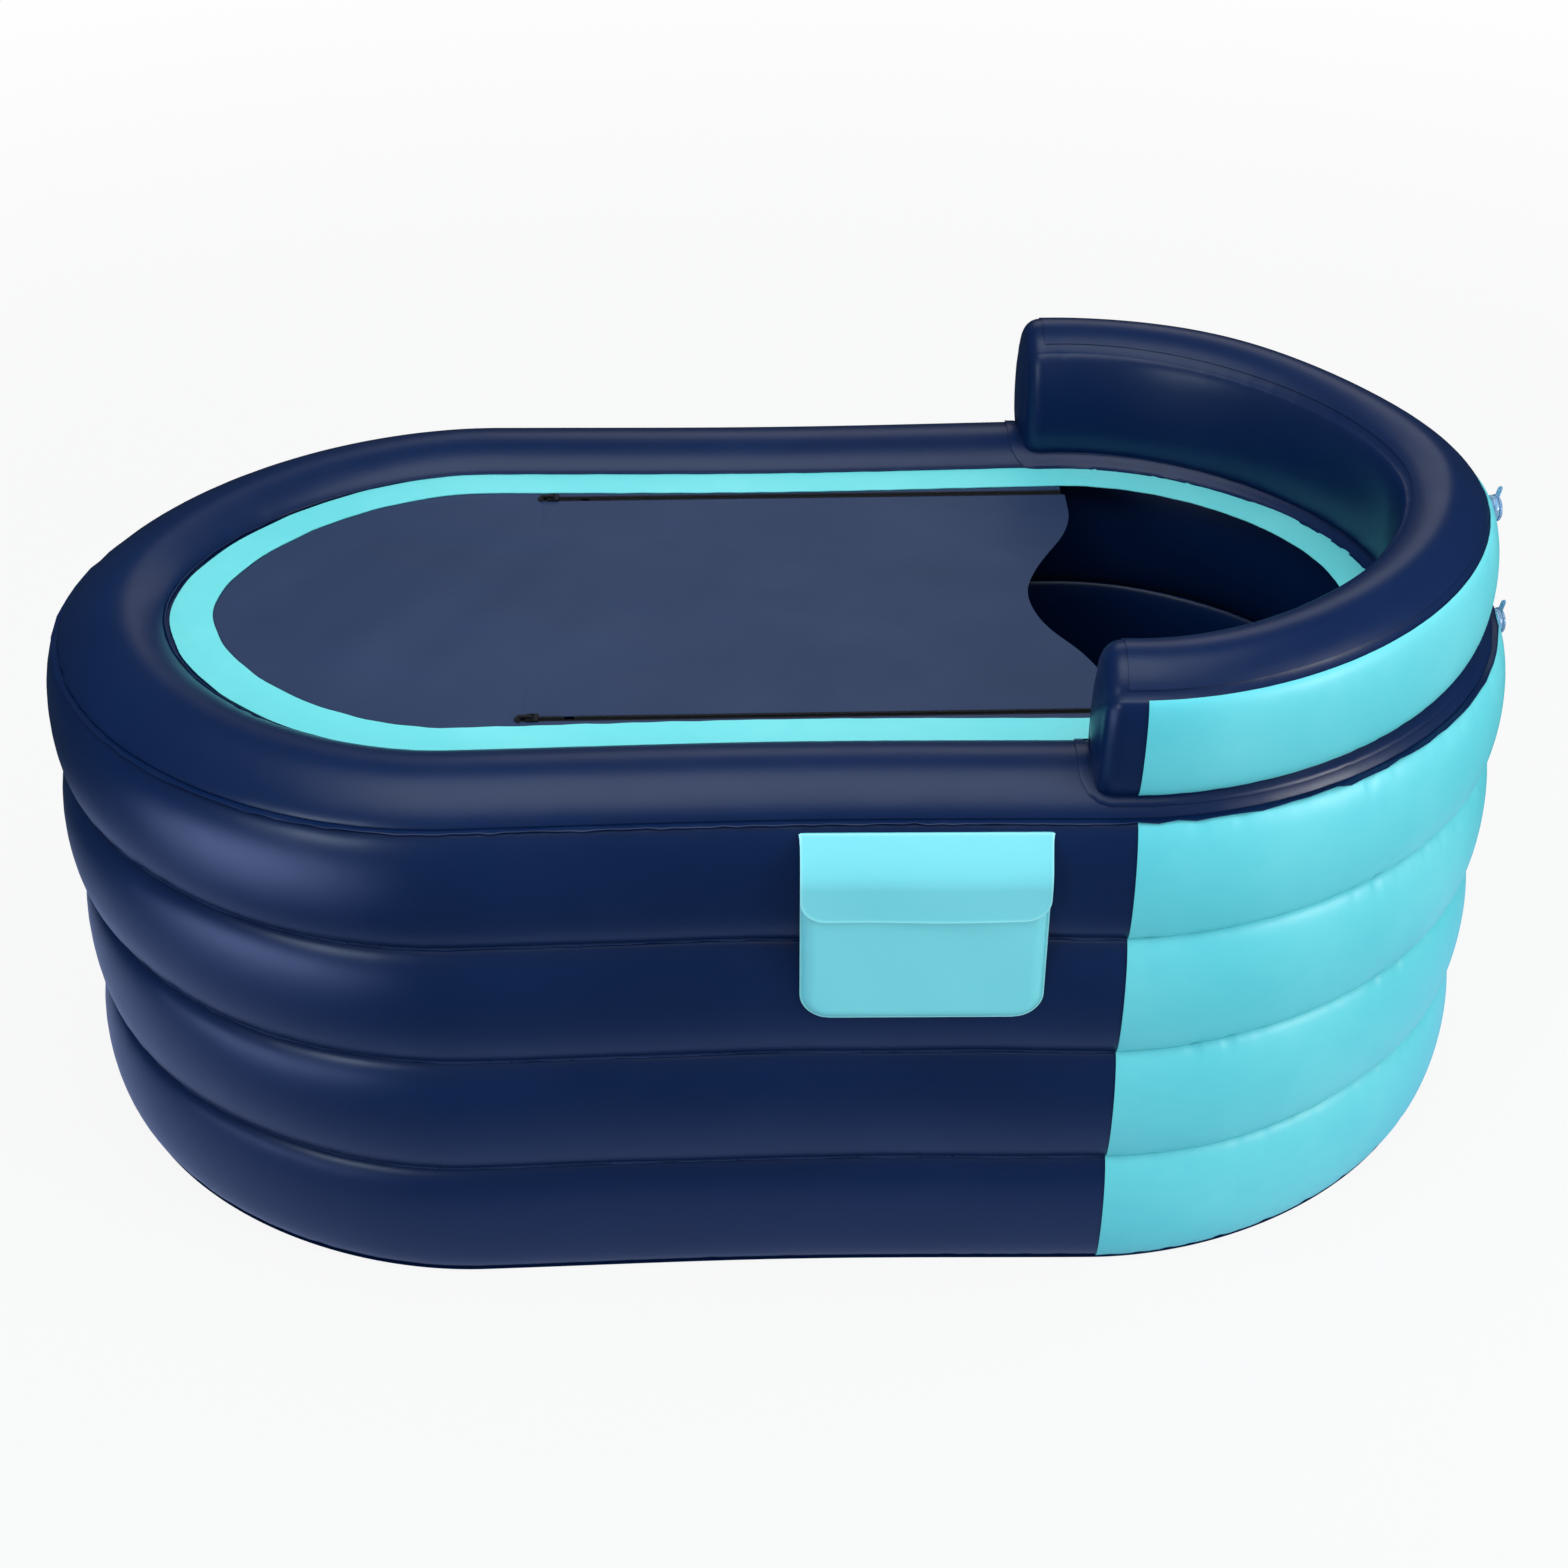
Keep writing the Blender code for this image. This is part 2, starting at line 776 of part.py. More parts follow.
def along_x(name, section, start, end, look):
    """Carry a (y, z) section straight along X."""
    bar = plate(name, section, end - start, look)
    bar.matrix_world = Matrix(((0, 0, 1, (start + end) / 2), (1, 0, 0, 0), (0, 1, 0, 0), (0, 0, 0, 1)))
    return bar


def build_zip(label, side):
    """One zip: a fixed half, a half on the flap, a foot stop, a slider and its pull tab."""
    centre = side * zip_y
    outer = along_x(f"zip_{label}_fixed_half", zip_half_section(side), zip_foot_x, zip_head_x, zip_plastic)
    outer.location.y = centre
    inner = along_x(f"zip_{label}_flap_half", zip_half_section(-side), cover_fold_x + fold_clearance,
                    zip_head_x, zip_plastic)
    inner.location.y = centre
    build_zip_stop(label, side, centre)
    slider = build_slider(label, centre)
    pull = build_pull(label, centre)
    pin_x = zip_foot_x + slider_park + slider_length / 2
    pin = Matrix.Translation((pin_x, centre, slider_top + pin_rise))
    axis_empty(f"zip_{label}_slider_axis", pin, [slider, pull])
    return inner


def build_zip_stop(label, side, centre):
    """The short inner half at the foot end, which closes the zip's end."""
    start = zip_foot_x
    stop = along_x(f"zip_{label}_foot_half", zip_half_section(-side), start,
                   cover_fold_x - fit_gap, zip_plastic)
    stop.location.y = centre


def slider_section():
    """The slider's section: two plates joined by a post, with rims over the coils."""
    half = coil_gap / 2 + coil_width + fit_gap
    top = coil_top + fit_gap
    low = tape_top - sheet - fit_gap
    right = [
        (half, low - slider_wall),
        (half, low),
        (post_width / 2, low - slider_relief),
        (post_width / 2, top + slider_relief),
        (half, top),
        (half, coil_top - slider_rim),
        (half + slider_rim, coil_top - slider_rim),
        (half + slider_rim, top + slider_wall),
    ]
    return right + [(-y, z) for y, z in reversed(right)]


def box(name, size, centre, look=None):
    """A box from a primitive cube, as a part or, with no material, as a guide."""
    shape = bmesh.new()
    bmesh.ops.create_cube(shape, size=1.0, matrix=Matrix.Translation(centre) @ Matrix.Diagonal((*size, 1.0)))
    mesh = mesh_from(name, shape, smooth=False)
    return part(name, mesh, look) if look else guide(name, mesh)


def rod(name, radius, length, centre, look=None):
    """A round rod along Y from a primitive cylinder, as a part or as a guide."""
    shape = bmesh.new()
    turn = Matrix.Translation(centre) @ Matrix.Rotation(pi / 2, 4, "X")
    bmesh.ops.create_cone(shape, cap_ends=True, segments=pin_segments, radius1=radius, radius2=radius,
                          depth=length, matrix=turn)
    mesh = mesh_from(name, shape)
    return part(name, mesh, look) if look else guide(name, mesh)


def combine(target, other, operation):
    """Join a guide to a part, or cut it out of the part."""
    change = target.modifiers.new(other.name, "BOOLEAN")
    change.operation = operation
    change.object = other


def build_slider(label, centre):
    """The slider, with two ears on top that carry the pull tab's pin."""
    start = zip_foot_x + slider_park
    name = f"zip_{label}_slider"
    body = along_x(name, slider_section(), start, start + slider_length, zip_plastic)
    body.location.y = centre
    body = as_mesh(body, zip_plastic)
    middle = start + slider_length / 2
    slot = pull_width + 2 * pin_play
    root = slider_wall / 2
    for side in (1, -1):
        ear_y = centre + side * (slot + ear_width) / 2
        ear = box(f"{name}_ear_{side}", (ear_length, ear_width, ear_height + root),
                  (middle, ear_y, slider_top + (ear_height - root) / 2))
        combine(body, ear, "UNION")
    hole = rod(name + "_pin_hole", pin_radius + pin_play, slot + 4 * ear_width,
               (middle, centre, slider_top + pin_rise))
    combine(body, hole, "DIFFERENCE")
    return body


def build_pull(label, centre):
    """The pull tab with its pin, lying flat towards the foot."""
    name = f"zip_{label}_pull_tab"
    pin_x = zip_foot_x + slider_park + slider_length / 2
    half = pull_width / 2
    outline = [(0.0, -half), (0.0, half)]
    for step in range(pull_end_steps + 1):
        angle = pi / 2 + pi * step / pull_end_steps
        outline.append((half - pull_length + half * cos(angle), half * sin(angle)))
    tab = plate(name, list(reversed(outline)), pull_thickness, zip_plastic)
    tab.location = (pin_x, centre, slider_top + pin_rise)
    tab = as_mesh(tab, zip_plastic)
    reach = pull_width + 2 * pin_play + 2 * ear_width
    pin = rod(name + "_pin", pin_radius, reach, (pin_x, centre, slider_top + pin_rise))
    combine(tab, pin, "UNION")
    return tab


# Pocket

def pocket_frame():
    """The pocket's own frame: X along the wall, -Y away from it, Z up."""
    step = pocket_width / 2
    rise = half_width_at(pocket_x + step, 0.0) - half_width_at(pocket_x - step, 0.0)
    along = Vector((2 * step, -rise, 0.0)).normalized()
    inwards = Vector((-along.y, along.x, 0.0))
    origin = Vector((pocket_x, -half_width_at(pocket_x, 0.0), 0.0))
    turned = Matrix((along, inwards, (0, 0, 1))).transposed().to_4x4()
    return Matrix.Translation(origin) @ turned


def pocket_wall_line(distance):
    """The line down the wall's outer side that pocket sheets follow, from the pocket's top."""
    side = ring_side(ring_count - 1)
    top = rim_seam_height - pocket_top_drop
    apex = max(side)
    line = [(offset_at_height(side, top), top)]
    line += [(o, z) for o, z in reversed(side) if apex[1] <= z < top]
    widest = max(apex[0], wall_offset)
    line[-1] = (widest, apex[1])
    line.append((widest, top - pocket_height))
    return [(o + distance, z) for o, z in line]


def offset_at_height(side, height):
    """The offset of a rising side line at a height."""
    for (ao, az), (bo, bz) in zip(side, side[1:]):
        if az <= height <= bz:
            return lerp(ao, bo, (height - az) / (bz - az))
    return side[-1][0]


def along_line(line, distance):
    """The point at a distance along a section line."""
    for (ao, az), (bo, bz) in zip(line, line[1:]):
        step = hypot(bo - ao, bz - az)
        if distance <= step:
            return lerp(ao, bo, distance / step), lerp(az, bz, distance / step)
        distance -= step
    return line[-1]


def line_length(line):
    """The length of a section line."""
    return sum(hypot(bo - ao, bz - az) for (ao, az), (bo, bz) in zip(line, line[1:]))


def hanging_rows(line, start, end, half_width, radius):
    """Rows of (distance down, half width) from start to end, with rounded lower corners."""
    distances = [start]
    run = 0.0
    for (ao, az), (bo, bz) in zip(line, line[1:]):
        run += hypot(bo - ao, bz - az)
        if start < run < end - radius:
            distances.append(run)
    rows = [(distance, half_width) for distance in distances]
    for step in range(pocket_corner_count + 1):
        angle = pi / 2 * step / pocket_corner_count
        rows.append((end - radius + radius * sin(angle), half_width - radius * (1 - cos(angle))))
    return rows


def hanging_sheet(name, line, rows, column_shares, lift, look):
    """A sheet that hangs along a line, with a width for each row and a lift off the line."""
    shape = bmesh.new()
    bmesh.ops.create_grid(shape, x_segments=len(column_shares) - 1, y_segments=len(rows) - 1, size=1.0)
    shape.verts.ensure_lookup_table()
    columns = len(column_shares)
    for index, corner in enumerate(shape.verts):
        distance, half = rows[len(rows) - 1 - index // columns]
        across = column_shares[index % columns] * half
        offset, height = along_line(line, distance)
        corner.co = (across, -(offset + lift(across, half, distance)), height)
    sheet_object = part(name, mesh_from(name, shape), look)
    sheet_object.matrix_world = pocket_frame()
    thick = sheet_object.modifiers.new("thickness", "SOLIDIFY")
    thick.thickness = sheet
    thick.offset = 1.0
    return sheet_object


def build_pocket():
    """The pocket: a back sheet on the wall, a bag, a flap over its mouth and a pair of pads."""
    layer = sheet + fit_gap
    back = pocket_wall_line(pocket_seat)
    length = line_length(back)
    half = pocket_width / 2
    rows = hanging_rows(back, 0.0, length, half, pocket_corner_radius)
    hanging_sheet("pocket_back", back, rows, (-1.0, 0.0, 1.0), lambda *_: 0.0, aqua_vinyl)

    bag = [(o + layer, z) for o, z in back]
    rows = hanging_rows(bag, pocket_mouth_drop, line_length(bag), half, pocket_corner_radius)

    def belly(across, half_row, distance):
        edge = min(half_row - abs(across), line_length(bag) - distance)
        near = min(max(edge / pocket_edge_round, 0.0), 1.0)
        upright = bag[-1][0] - along_line(bag, distance)[0]
        return (pocket_depth + upright) * sqrt(1 - (1 - near) ** 2)

    hanging_sheet("pocket_bag", bag, rows, pocket_column_shares, belly, aqua_vinyl)

    front = bag[-1][0] + pocket_depth + layer
    flap_offset = front + 2 * (pad_thickness + fit_gap)
    top = bag[0][1]
    flap_line = []
    for step in range(pocket_flap_steps + 1):
        share = step / pocket_flap_steps
        flap_line.append((lerp(bag[0][0], flap_offset, sin(pi / 2 * share)), top - pocket_flap_swell * share))
    flap_line.append((flap_offset, top - pocket_height))
    flap_rows = hanging_rows(flap_line, 0.0, pocket_flap_height, half, pocket_flap_corner)
    flap = hanging_sheet("pocket_flap", flap_line, flap_rows, (-1.0, 0.0, 1.0), lambda *_: 0.0, aqua_vinyl)
    hook_pad = build_pads(front, along_line(flap_line, pocket_flap_height)[1])
    axis_offset, axis_height = offset_line(flap_line, sheet)[0]
    edge = Matrix.Translation((0.0, -axis_offset, axis_height))
    axis_empty("pocket_flap_axis", pocket_frame() @ edge, [flap, hook_pad])


def build_pads(start, flap_low):
    """The loop pad on the bag and the hook pad on the flap, which hold the pocket shut."""
    middle = flap_low + pad_rise + pad_height / 2
    for name, from_start in (("pocket_loop_pad", 0.0), ("pocket_hook_pad", pad_thickness + fit_gap)):
        centre = (0.0, -(start + from_start + pad_thickness / 2), middle)
        pad = box(name, (pad_length, pad_thickness, pad_height), centre, zip_plastic)
        pad.matrix_world = pocket_frame()
    return pad


# Valves and drain

def turned(name, profile, look):
    """A turned piece: a profile of (radius, height) points, from the top down its outer side."""
    mesh = bpy.data.meshes.new(name)
    edges = [(index, index + 1) for index in range(len(profile) - 1)]
    mesh.from_pydata([(radius, 0.0, height) for radius, height in profile], edges, [])
    made = part(name, mesh, look)
    turn = made.modifiers.new("turn", "SCREW")
    turn.steps = fitting_step_count
    turn.render_steps = fitting_step_count
    turn.use_merge_vertices = True
    turn.merge_threshold = fit_gap / 10
    turn.use_smooth_shade = True
    return made


def stem_profile(flange, collar, taper, collar_height, neck, neck_height, rim, rim_height, bore, depth):
    """A stem: a flange, a tapered collar, a neck and a rim round a blind bore."""
    collar_top = sheet + collar_height
    neck_top = collar_top + neck_height
    top = neck_top + rim_height
    return [
        (0.0, top - depth),
        (bore, top - depth),
        (bore, top),
        (rim, top),
        (rim, neck_top),
        (neck, neck_top),
        (neck, collar_top),
        (collar - taper, collar_top),
        (collar, sheet),
        (flange, sheet),
        (flange, 0.0),
        (0.0, 0.0),
    ]


def cap_profile(radius, thickness, plug, plug_length):
    """A cap: a rounded disc with a plug below it."""
    return [
        (0.0, thickness),
        (radius - cap_edge_round, thickness),
        (radius, thickness - cap_edge_round),
        (radius, 0.0),
        (plug, 0.0),
        (plug, -plug_length),
        (0.0, -plug_length),
    ]


def build_capped(name, place, stem, cap, reach, tab_length, tab_width):
    """A stem with a cap that is tethered on its local +X side and has a tab on the other."""
    top = stem[2][1]
    neck = stem[5][0]
    rim_low = stem[4][1]
    cap_radius = cap[2][0]
    body = turned(name + "_stem", stem, valve_vinyl)
    body.matrix_world = place
    lug_height = (top - rim_low) * lug_height_share
    lug = box(name + "_lug", (reach - neck, strap_width, lug_height),
              ((reach + neck) / 2, 0.0, top - lug_height / 2))
    lug.matrix_world = place
    combine(body, lug, "UNION")

    lid = turned(name + "_cap", cap, valve_vinyl)
    lid.matrix_world = place @ Matrix.Translation((0.0, 0.0, top + fit_gap))
    root = cap_radius - tab_width / 2
    strap = box(name + "_strap", (reach - root, strap_width, strap_thickness),
                ((reach + root) / 2, 0.0, strap_thickness / 2))
    tab = box(name + "_tab", (tab_length + tab_width / 2, tab_width, strap_thickness),
              (-(root + cap_radius + tab_length) / 2, 0.0, strap_thickness / 2))
    for extra in (strap, tab):
        extra.matrix_world = lid.matrix_world
        combine(lid, extra, "UNION")
    hinge = Matrix.Translation((reach, 0.0, top + fit_gap / 2))
    axis_empty(name + "_cap_axis", place @ hinge, [lid])


def swept_point(index, offset):
    """The point of a swept wall at one plan point, at an offset."""
    here = Vector(plan[index])
    into = (here - Vector(plan[index - 1])).normalized()
    away = (Vector(plan[index + 1]) - here).normalized()
    tangent = (into + away).normalized()
    return here + Vector((tangent.y, -tangent.x)) * offset


def wall_place(index, height, offset, outwards=1):
    """The middle of one facet of the wall: local Z points away from it and local X down."""
    near = swept_point(index, offset)
    far = swept_point(index + 1, offset)
    along = (far - near).normalized()
    normal = Vector((along.y, -along.x, 0.0)) * outwards
    down = Vector((0, 0, -1))
    place = Matrix((down, normal.cross(down), normal)).transposed().to_4x4()
    place.translation = (*((near + far) / 2), height)
    return place


def build_valves():
    """One valve for each ring chamber and one for the backrest, in a line at the head end."""
    stem = stem_profile(valve_flange_radius, valve_collar_radius, valve_collar_taper, valve_collar_height,
                        valve_neck_radius, valve_neck_height, valve_rim_radius, valve_rim_height,
                        valve_bore_radius, valve_bore_depth)
    cap = cap_profile(valve_cap_radius, valve_cap_thickness, valve_bore_radius - plug_play, valve_plug_length)
    sides = [(f"ring_{index + 1}", ring_side(index)) for index in range(ring_count)]
    sides.append(("backrest", backrest_lines()[0]))
    for name, side in sides:
        offset, height = side[len(side) // 2]
        place = wall_place(valve_plan_index, height, offset + sheet + 2 * fit_gap)
        build_capped(name + "_valve", place, stem, cap, valve_hinge_reach, valve_tab_length, valve_tab_width)


def build_cushion_valve():
    """The low valve on top of the floor cushion, with its strap towards the foot."""
    stem = stem_profile(low_valve_flange_radius, low_valve_collar_radius, low_valve_taper,
                        low_valve_collar_height, low_valve_neck_radius, low_valve_neck_height,
                        low_valve_rim_radius, low_valve_rim_height, low_valve_bore_radius,
                        low_valve_bore_depth)
    cap = cap_profile(low_valve_cap_radius, low_valve_cap_thickness, low_valve_bore_radius - plug_play,
                      low_valve_plug_length)
    reach = cushion_reach(offset_loop(plan, -cushion_clearance - inner_bulge))
    along = sin(low_valve_place_share * pi / 2)
    seat = cushion_height(along + low_valve_flange_radius / reach, 0.0) + fit_gap
    place = Matrix.Translation((reach * along, 0.0, seat)) @ Matrix.Rotation(pi, 4, "Z")
    build_capped("cushion_valve", place, stem, cap, low_valve_hinge_reach, low_valve_tab_length,
                 low_valve_tab_width)


def build_drain():
    """The drain through the lowest ring: a capped outlet on the rear side and a stopper inside."""
    index = next(step for step in range(plan_point_count // 2) if plan[step + 1][0] <= drain_x)
    offset, height = ring_side(0)[len(ring_side(0)) // 2]
    outlet = stem_profile(drain_flange_radius, drain_collar_radius, drain_taper, drain_collar_height,
                          drain_neck_radius, drain_neck_height, drain_rim_radius, drain_rim_height,
                          drain_bore_radius, drain_bore_depth)
    cap = cap_profile(drain_cap_radius, drain_cap_thickness, drain_bore_radius - plug_play, drain_plug_length)
    place = wall_place(index, height, offset + fit_gap)
    build_capped("drain_outlet", place, outlet, cap, drain_hinge_reach, drain_tab_length, drain_tab_width)

    place = wall_place(index, height, -inner_bulge - fit_gap, outwards=-1)
    inlet = turned("drain_inlet", [
        (0.0, inlet_height - inlet_bore_depth),
        (drain_bore_radius, inlet_height - inlet_bore_depth),
        (drain_bore_radius, inlet_height),
        (inlet_rim_radius, inlet_height),
        (inlet_rim_radius, sheet),
        (drain_flange_radius, sheet),
        (drain_flange_radius, 0.0),
        (0.0, 0.0),
    ], valve_vinyl)
    inlet.matrix_world = place
    stopper = turned("drain_stopper", [
        (0.0, stopper_thickness + stopper_knob_height),
        (stopper_knob_radius, stopper_thickness + stopper_knob_height),
        (stopper_knob_radius, stopper_thickness),
        (stopper_radius, stopper_thickness),
        (stopper_radius, 0.0),
        (drain_bore_radius - plug_play, 0.0),
        (drain_bore_radius - plug_play, -stopper_plug_length),
        (0.0, -stopper_plug_length),
    ], valve_vinyl)
    seat = place @ Matrix.Translation((0.0, 0.0, inlet_height + fit_gap))
    stopper.matrix_world = seat
    axis_empty("drain_stopper_axis", seat, [stopper])


build_base()
build_rings()
build_rim()
build_floor_cushion()
build_backrest()
build_backrest_weld()
opening_pieces = [build_cover()]
for zip_label, zip_side in (("rear", 1), ("front", -1)):
    opening_pieces.append(build_zip(zip_label, zip_side))
axis_empty("cover_flap_axis", Matrix.Translation((cover_fold_x, 0.0, panel_top)), opening_pieces)
build_pocket()
build_valves()
build_cushion_valve()
build_drain()
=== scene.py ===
"""Looks of the inflatable bathtub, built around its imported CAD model.

The head end is at +X, the front with the pocket at -Y, and the floor at z = 0. Lengths are in metres.
"""

import json
from math import cos, pi, radians, sin

import bpy
import numpy as np
from mathutils import Matrix, Vector


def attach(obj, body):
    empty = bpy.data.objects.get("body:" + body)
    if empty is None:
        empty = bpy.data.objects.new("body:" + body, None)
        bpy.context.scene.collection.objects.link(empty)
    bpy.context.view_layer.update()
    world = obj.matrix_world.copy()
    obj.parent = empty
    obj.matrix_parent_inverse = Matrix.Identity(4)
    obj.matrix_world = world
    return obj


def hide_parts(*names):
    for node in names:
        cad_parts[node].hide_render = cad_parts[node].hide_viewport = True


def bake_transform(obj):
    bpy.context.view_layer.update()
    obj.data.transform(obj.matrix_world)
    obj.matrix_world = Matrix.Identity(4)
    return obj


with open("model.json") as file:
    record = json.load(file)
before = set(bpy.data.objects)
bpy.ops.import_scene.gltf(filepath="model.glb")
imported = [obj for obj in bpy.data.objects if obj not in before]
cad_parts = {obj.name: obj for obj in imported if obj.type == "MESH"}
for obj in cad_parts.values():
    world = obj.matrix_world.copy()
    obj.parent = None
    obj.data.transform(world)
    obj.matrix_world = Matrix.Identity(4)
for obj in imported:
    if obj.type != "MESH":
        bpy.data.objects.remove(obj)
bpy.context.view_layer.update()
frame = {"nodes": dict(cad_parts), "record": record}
bpy.ops.object.select_all(action="DESELECT")


# Camera, light and floor
# The camera stands where the photograph was taken from. Soft lamps and a pale world light the tub, and the
# floor keeps its shadow. Only in the tub's shine are the world and the floor dim, with a light card at the
# foot end and a soft glow beside the tub.

camera_place = (-0.0565, -2.3375, 2.0134)
camera_pitch = 0.6190
camera_yaw = 0.0272
camera_lens, camera_sensor = 57.49, 36.0
white_colour = (1.0, 1.0, 1.0, 1.0)
floor_size = 40.0
floor_colour = (0.46, 0.47, 0.48, 1.0)
floor_shine = (0.03, 0.05, 0.08, 1.0)
floor_white_share = 0.90
floor_fade_near, floor_fade_far = 1.6, 5.0
card_place = (-1.85, -1.30, 0.0)
card_core, card_edge = 0.30, 1.15
card_colour = (0.46, 0.58, 1.0, 1.0)
card_strength = 8.5
glow_squeeze = (0.54, 1.0, 1.0)
glow_near, glow_far, glow_share = 0.50, 0.85, 0.10
world_colour = (0.90, 0.95, 1.0, 1.0)
world_strength = 0.62
world_shine = 0.05


class Socket:
    """An output of a node. Arithmetic on it adds Math nodes."""

    def __init__(self, owner, link):
        self.owner = owner
        self.link = link

    def math(self, operation, first, second=0.0):
        return self.owner.node("ShaderNodeMath", {"operation": operation}, {0: first, 1: second})

    def __add__(self, other):
        return self.math("ADD", self, other)

    def __sub__(self, other):
        return self.math("SUBTRACT", self, other)

    def __rsub__(self, other):
        return self.math("SUBTRACT", other, self)

    def __mul__(self, other):
        return self.math("MULTIPLY", self, other)

    __radd__ = __add__
    __rmul__ = __mul__


class Nodes:
    """The nodes of the world or of a material."""

    def __init__(self, tree):
        self.tree = tree

    def node(self, kind, settings=None, values=None, output=0):
        """Add a node: its settings are set first, then its sockets get values or links."""
        made = self.tree.nodes.new(kind)
        for key, value in (settings or {}).items():
            setattr(made, key, value)
        for key, value in (values or {}).items():
            self.join(made.inputs[key], value)
        return Socket(self, made.outputs[output])

    def join(self, entry, value):
        """Give a socket a value or a link."""
        if isinstance(value, Socket):
            self.tree.links.new(value.link, entry)
        else:
            entry.default_value = value

    def ray(self, kind):
        """1 for one kind of ray, and 0 for the others."""
        return self.node("ShaderNodeLightPath", output=kind)


class Finish(Nodes):
    """A material, with a Principled shader that its nodes feed."""

    def __init__(self, name):
        self.material = bpy.data.materials.new(name)
        self.material.use_nodes = True
        super().__init__(self.material.node_tree)
        self.shader = self.tree.nodes["Principled BSDF"]

    def place(self):
        """Object coordinates, which are the tub's own."""
        return self.node("ShaderNodeTexCoord", output=3)

    def mix(self, share, first, second):
        """A colour between two colours."""
        return self.node("ShaderNodeMix", {"data_type": "RGBA"}, {0: share, 6: first, 7: second}, 2)

    def noise(self, place, scale, detail=2.0, roughness=0.5):
        """Plain noise, from 0 to 1."""
        return self.node("ShaderNodeTexNoise", {}, {"Vector": place, "Scale": scale, "Detail": detail,
                                                    "Roughness": roughness})

    def step(self, value, low, high):
        """A smooth step of a value, from 0 at low to 1 at high."""
        return self.node("ShaderNodeMapRange", {"interpolation_type": "SMOOTHSTEP"},
                         {"Value": value, "From Min": low, "From Max": high})

    def bump(self, height, distance, normal=None):
        """A bump of so many metres, on top of another."""
        values = {"Height": height, "Distance": distance, "Strength": 1.0}
        if normal:
            values["Normal"] = normal
        return self.node("ShaderNodeBump", {}, values)

    def set(self, **values):
        """Set the shader's own sockets, with spaces in their names written as underscores."""
        for key, value in values.items():
            self.join(self.shader.inputs[key.replace("_", " ")], value)
        return self.material


def softbox(name, place, aim, size, power, colour=(1.0, 1.0, 1.0)):
    """A wide soft lamp that points at a place."""
    bpy.ops.object.light_add(type="AREA", location=place)
    lamp = bpy.context.object
    lamp.name = name
    lamp.data.shape = "RECTANGLE"
    lamp.data.size, lamp.data.size_y = size
    lamp.data.energy = power
    lamp.data.color = colour
    lamp.rotation_euler = (Vector(aim) - Vector(place)).to_track_quat("-Z", "Y").to_euler()


softbox("lamp_above", (-0.1, -0.7, 2.9), (0.0, 0.0, 0.4), (2.6, 2.0), 44.0, (0.86, 0.94, 1.0))
softbox("lamp_left", (-2.1, -2.35, 1.25), (-0.5, -0.2, 0.4), (0.9, 0.7), 22.0, (0.70, 0.85, 1.0))
softbox("lamp_right", (2.8, -1.6, 1.3), (0.5, 0.0, 0.4), (1.0, 1.2), 46.0)
softbox("lamp_behind", (0.5, 2.8, 2.4), (0.0, 0.0, 0.4), (2.6, 1.4), 12.0)

bpy.ops.object.camera_add(location=camera_place, rotation=(pi / 2 - camera_pitch, 0.0, -camera_yaw))
camera = bpy.context.object
camera.data.lens = camera_lens
camera.data.sensor_width = camera_sensor
bpy.context.scene.camera = camera
bpy.context.scene.view_settings.view_transform = "Standard"

world = bpy.data.worlds.new("studio")
world.use_nodes = True
bpy.context.scene.world = world
sky = Nodes(world.node_tree)
pale = sky.tree.nodes["Background"]
pale.inputs["Color"].default_value = world_colour
sky.join(pale.inputs["Strength"], world_strength + (world_shine - world_strength) * sky.ray("Is Glossy Ray"))
white = sky.node("ShaderNodeBackground", {}, {"Color": white_colour})
through = sky.node("ShaderNodeMath", {"operation": "MAXIMUM"},
                   {0: sky.ray("Is Camera Ray"), 1: sky.ray("Is Transmission Ray")})
choice = sky.node("ShaderNodeMixShader", {}, {0: through, 1: Socket(sky, pale.outputs[0]), 2: white})
sky.join(sky.tree.nodes["World Output"].inputs[0], choice)

bpy.ops.mesh.primitive_plane_add(size=floor_size)
floor = bpy.context.object
floor.name = "floor"
ground = Finish("floor_sheet")
shine = ground.ray("Is Glossy Ray")
ground.set(Base_Color=ground.mix(shine, floor_colour, floor_shine), Roughness=0.9, Specular_IOR_Level=0.2)
place = ground.place()
middle_away = ground.node("ShaderNodeVectorMath", {"operation": "LENGTH"}, {0: place}, output=1)
far = ground.step(middle_away, floor_fade_near, floor_fade_far)
whitened = ground.ray("Is Camera Ray") * (floor_white_share + (1.0 - floor_white_share) * far)
plain = ground.node("ShaderNodeMixShader", {}, {0: whitened, 1: Socket(ground, ground.shader.outputs[0]),
                                                2: ground.node("ShaderNodeEmission")})
away = ground.node("ShaderNodeVectorMath", {"operation": "DISTANCE"}, {0: place, 1: card_place}, output=1)
squeezed = ground.node("ShaderNodeVectorMath", {"operation": "MULTIPLY"}, {0: place, 1: glow_squeeze})
beside = ground.node("ShaderNodeVectorMath", {"operation": "LENGTH"}, {0: squeezed}, output=1)
glowing = glow_share * (1.0 - ground.step(beside, glow_near, glow_far))
lit = ground.node("ShaderNodeMath", {"operation": "MAXIMUM"},
                  {0: 1.0 - ground.step(away, card_core, card_edge), 1: glowing})
card = ground.node("ShaderNodeEmission", {}, {"Color": card_colour, "Strength": card_strength})
laid = ground.node("ShaderNodeMixShader", {}, {0: shine * lit, 1: plain, 2: card})
ground.join(ground.tree.nodes["Material Output"].inputs[0], laid)
floor.data.materials.append(ground.material)


# Ring chambers
# Four air chambers of satin dark blue PVC sheet, stacked and welded to each other. Each is a closed tube that
# follows the tub's plan. The air swells its sides, and the welds pucker the sheet, most where the plan turns.

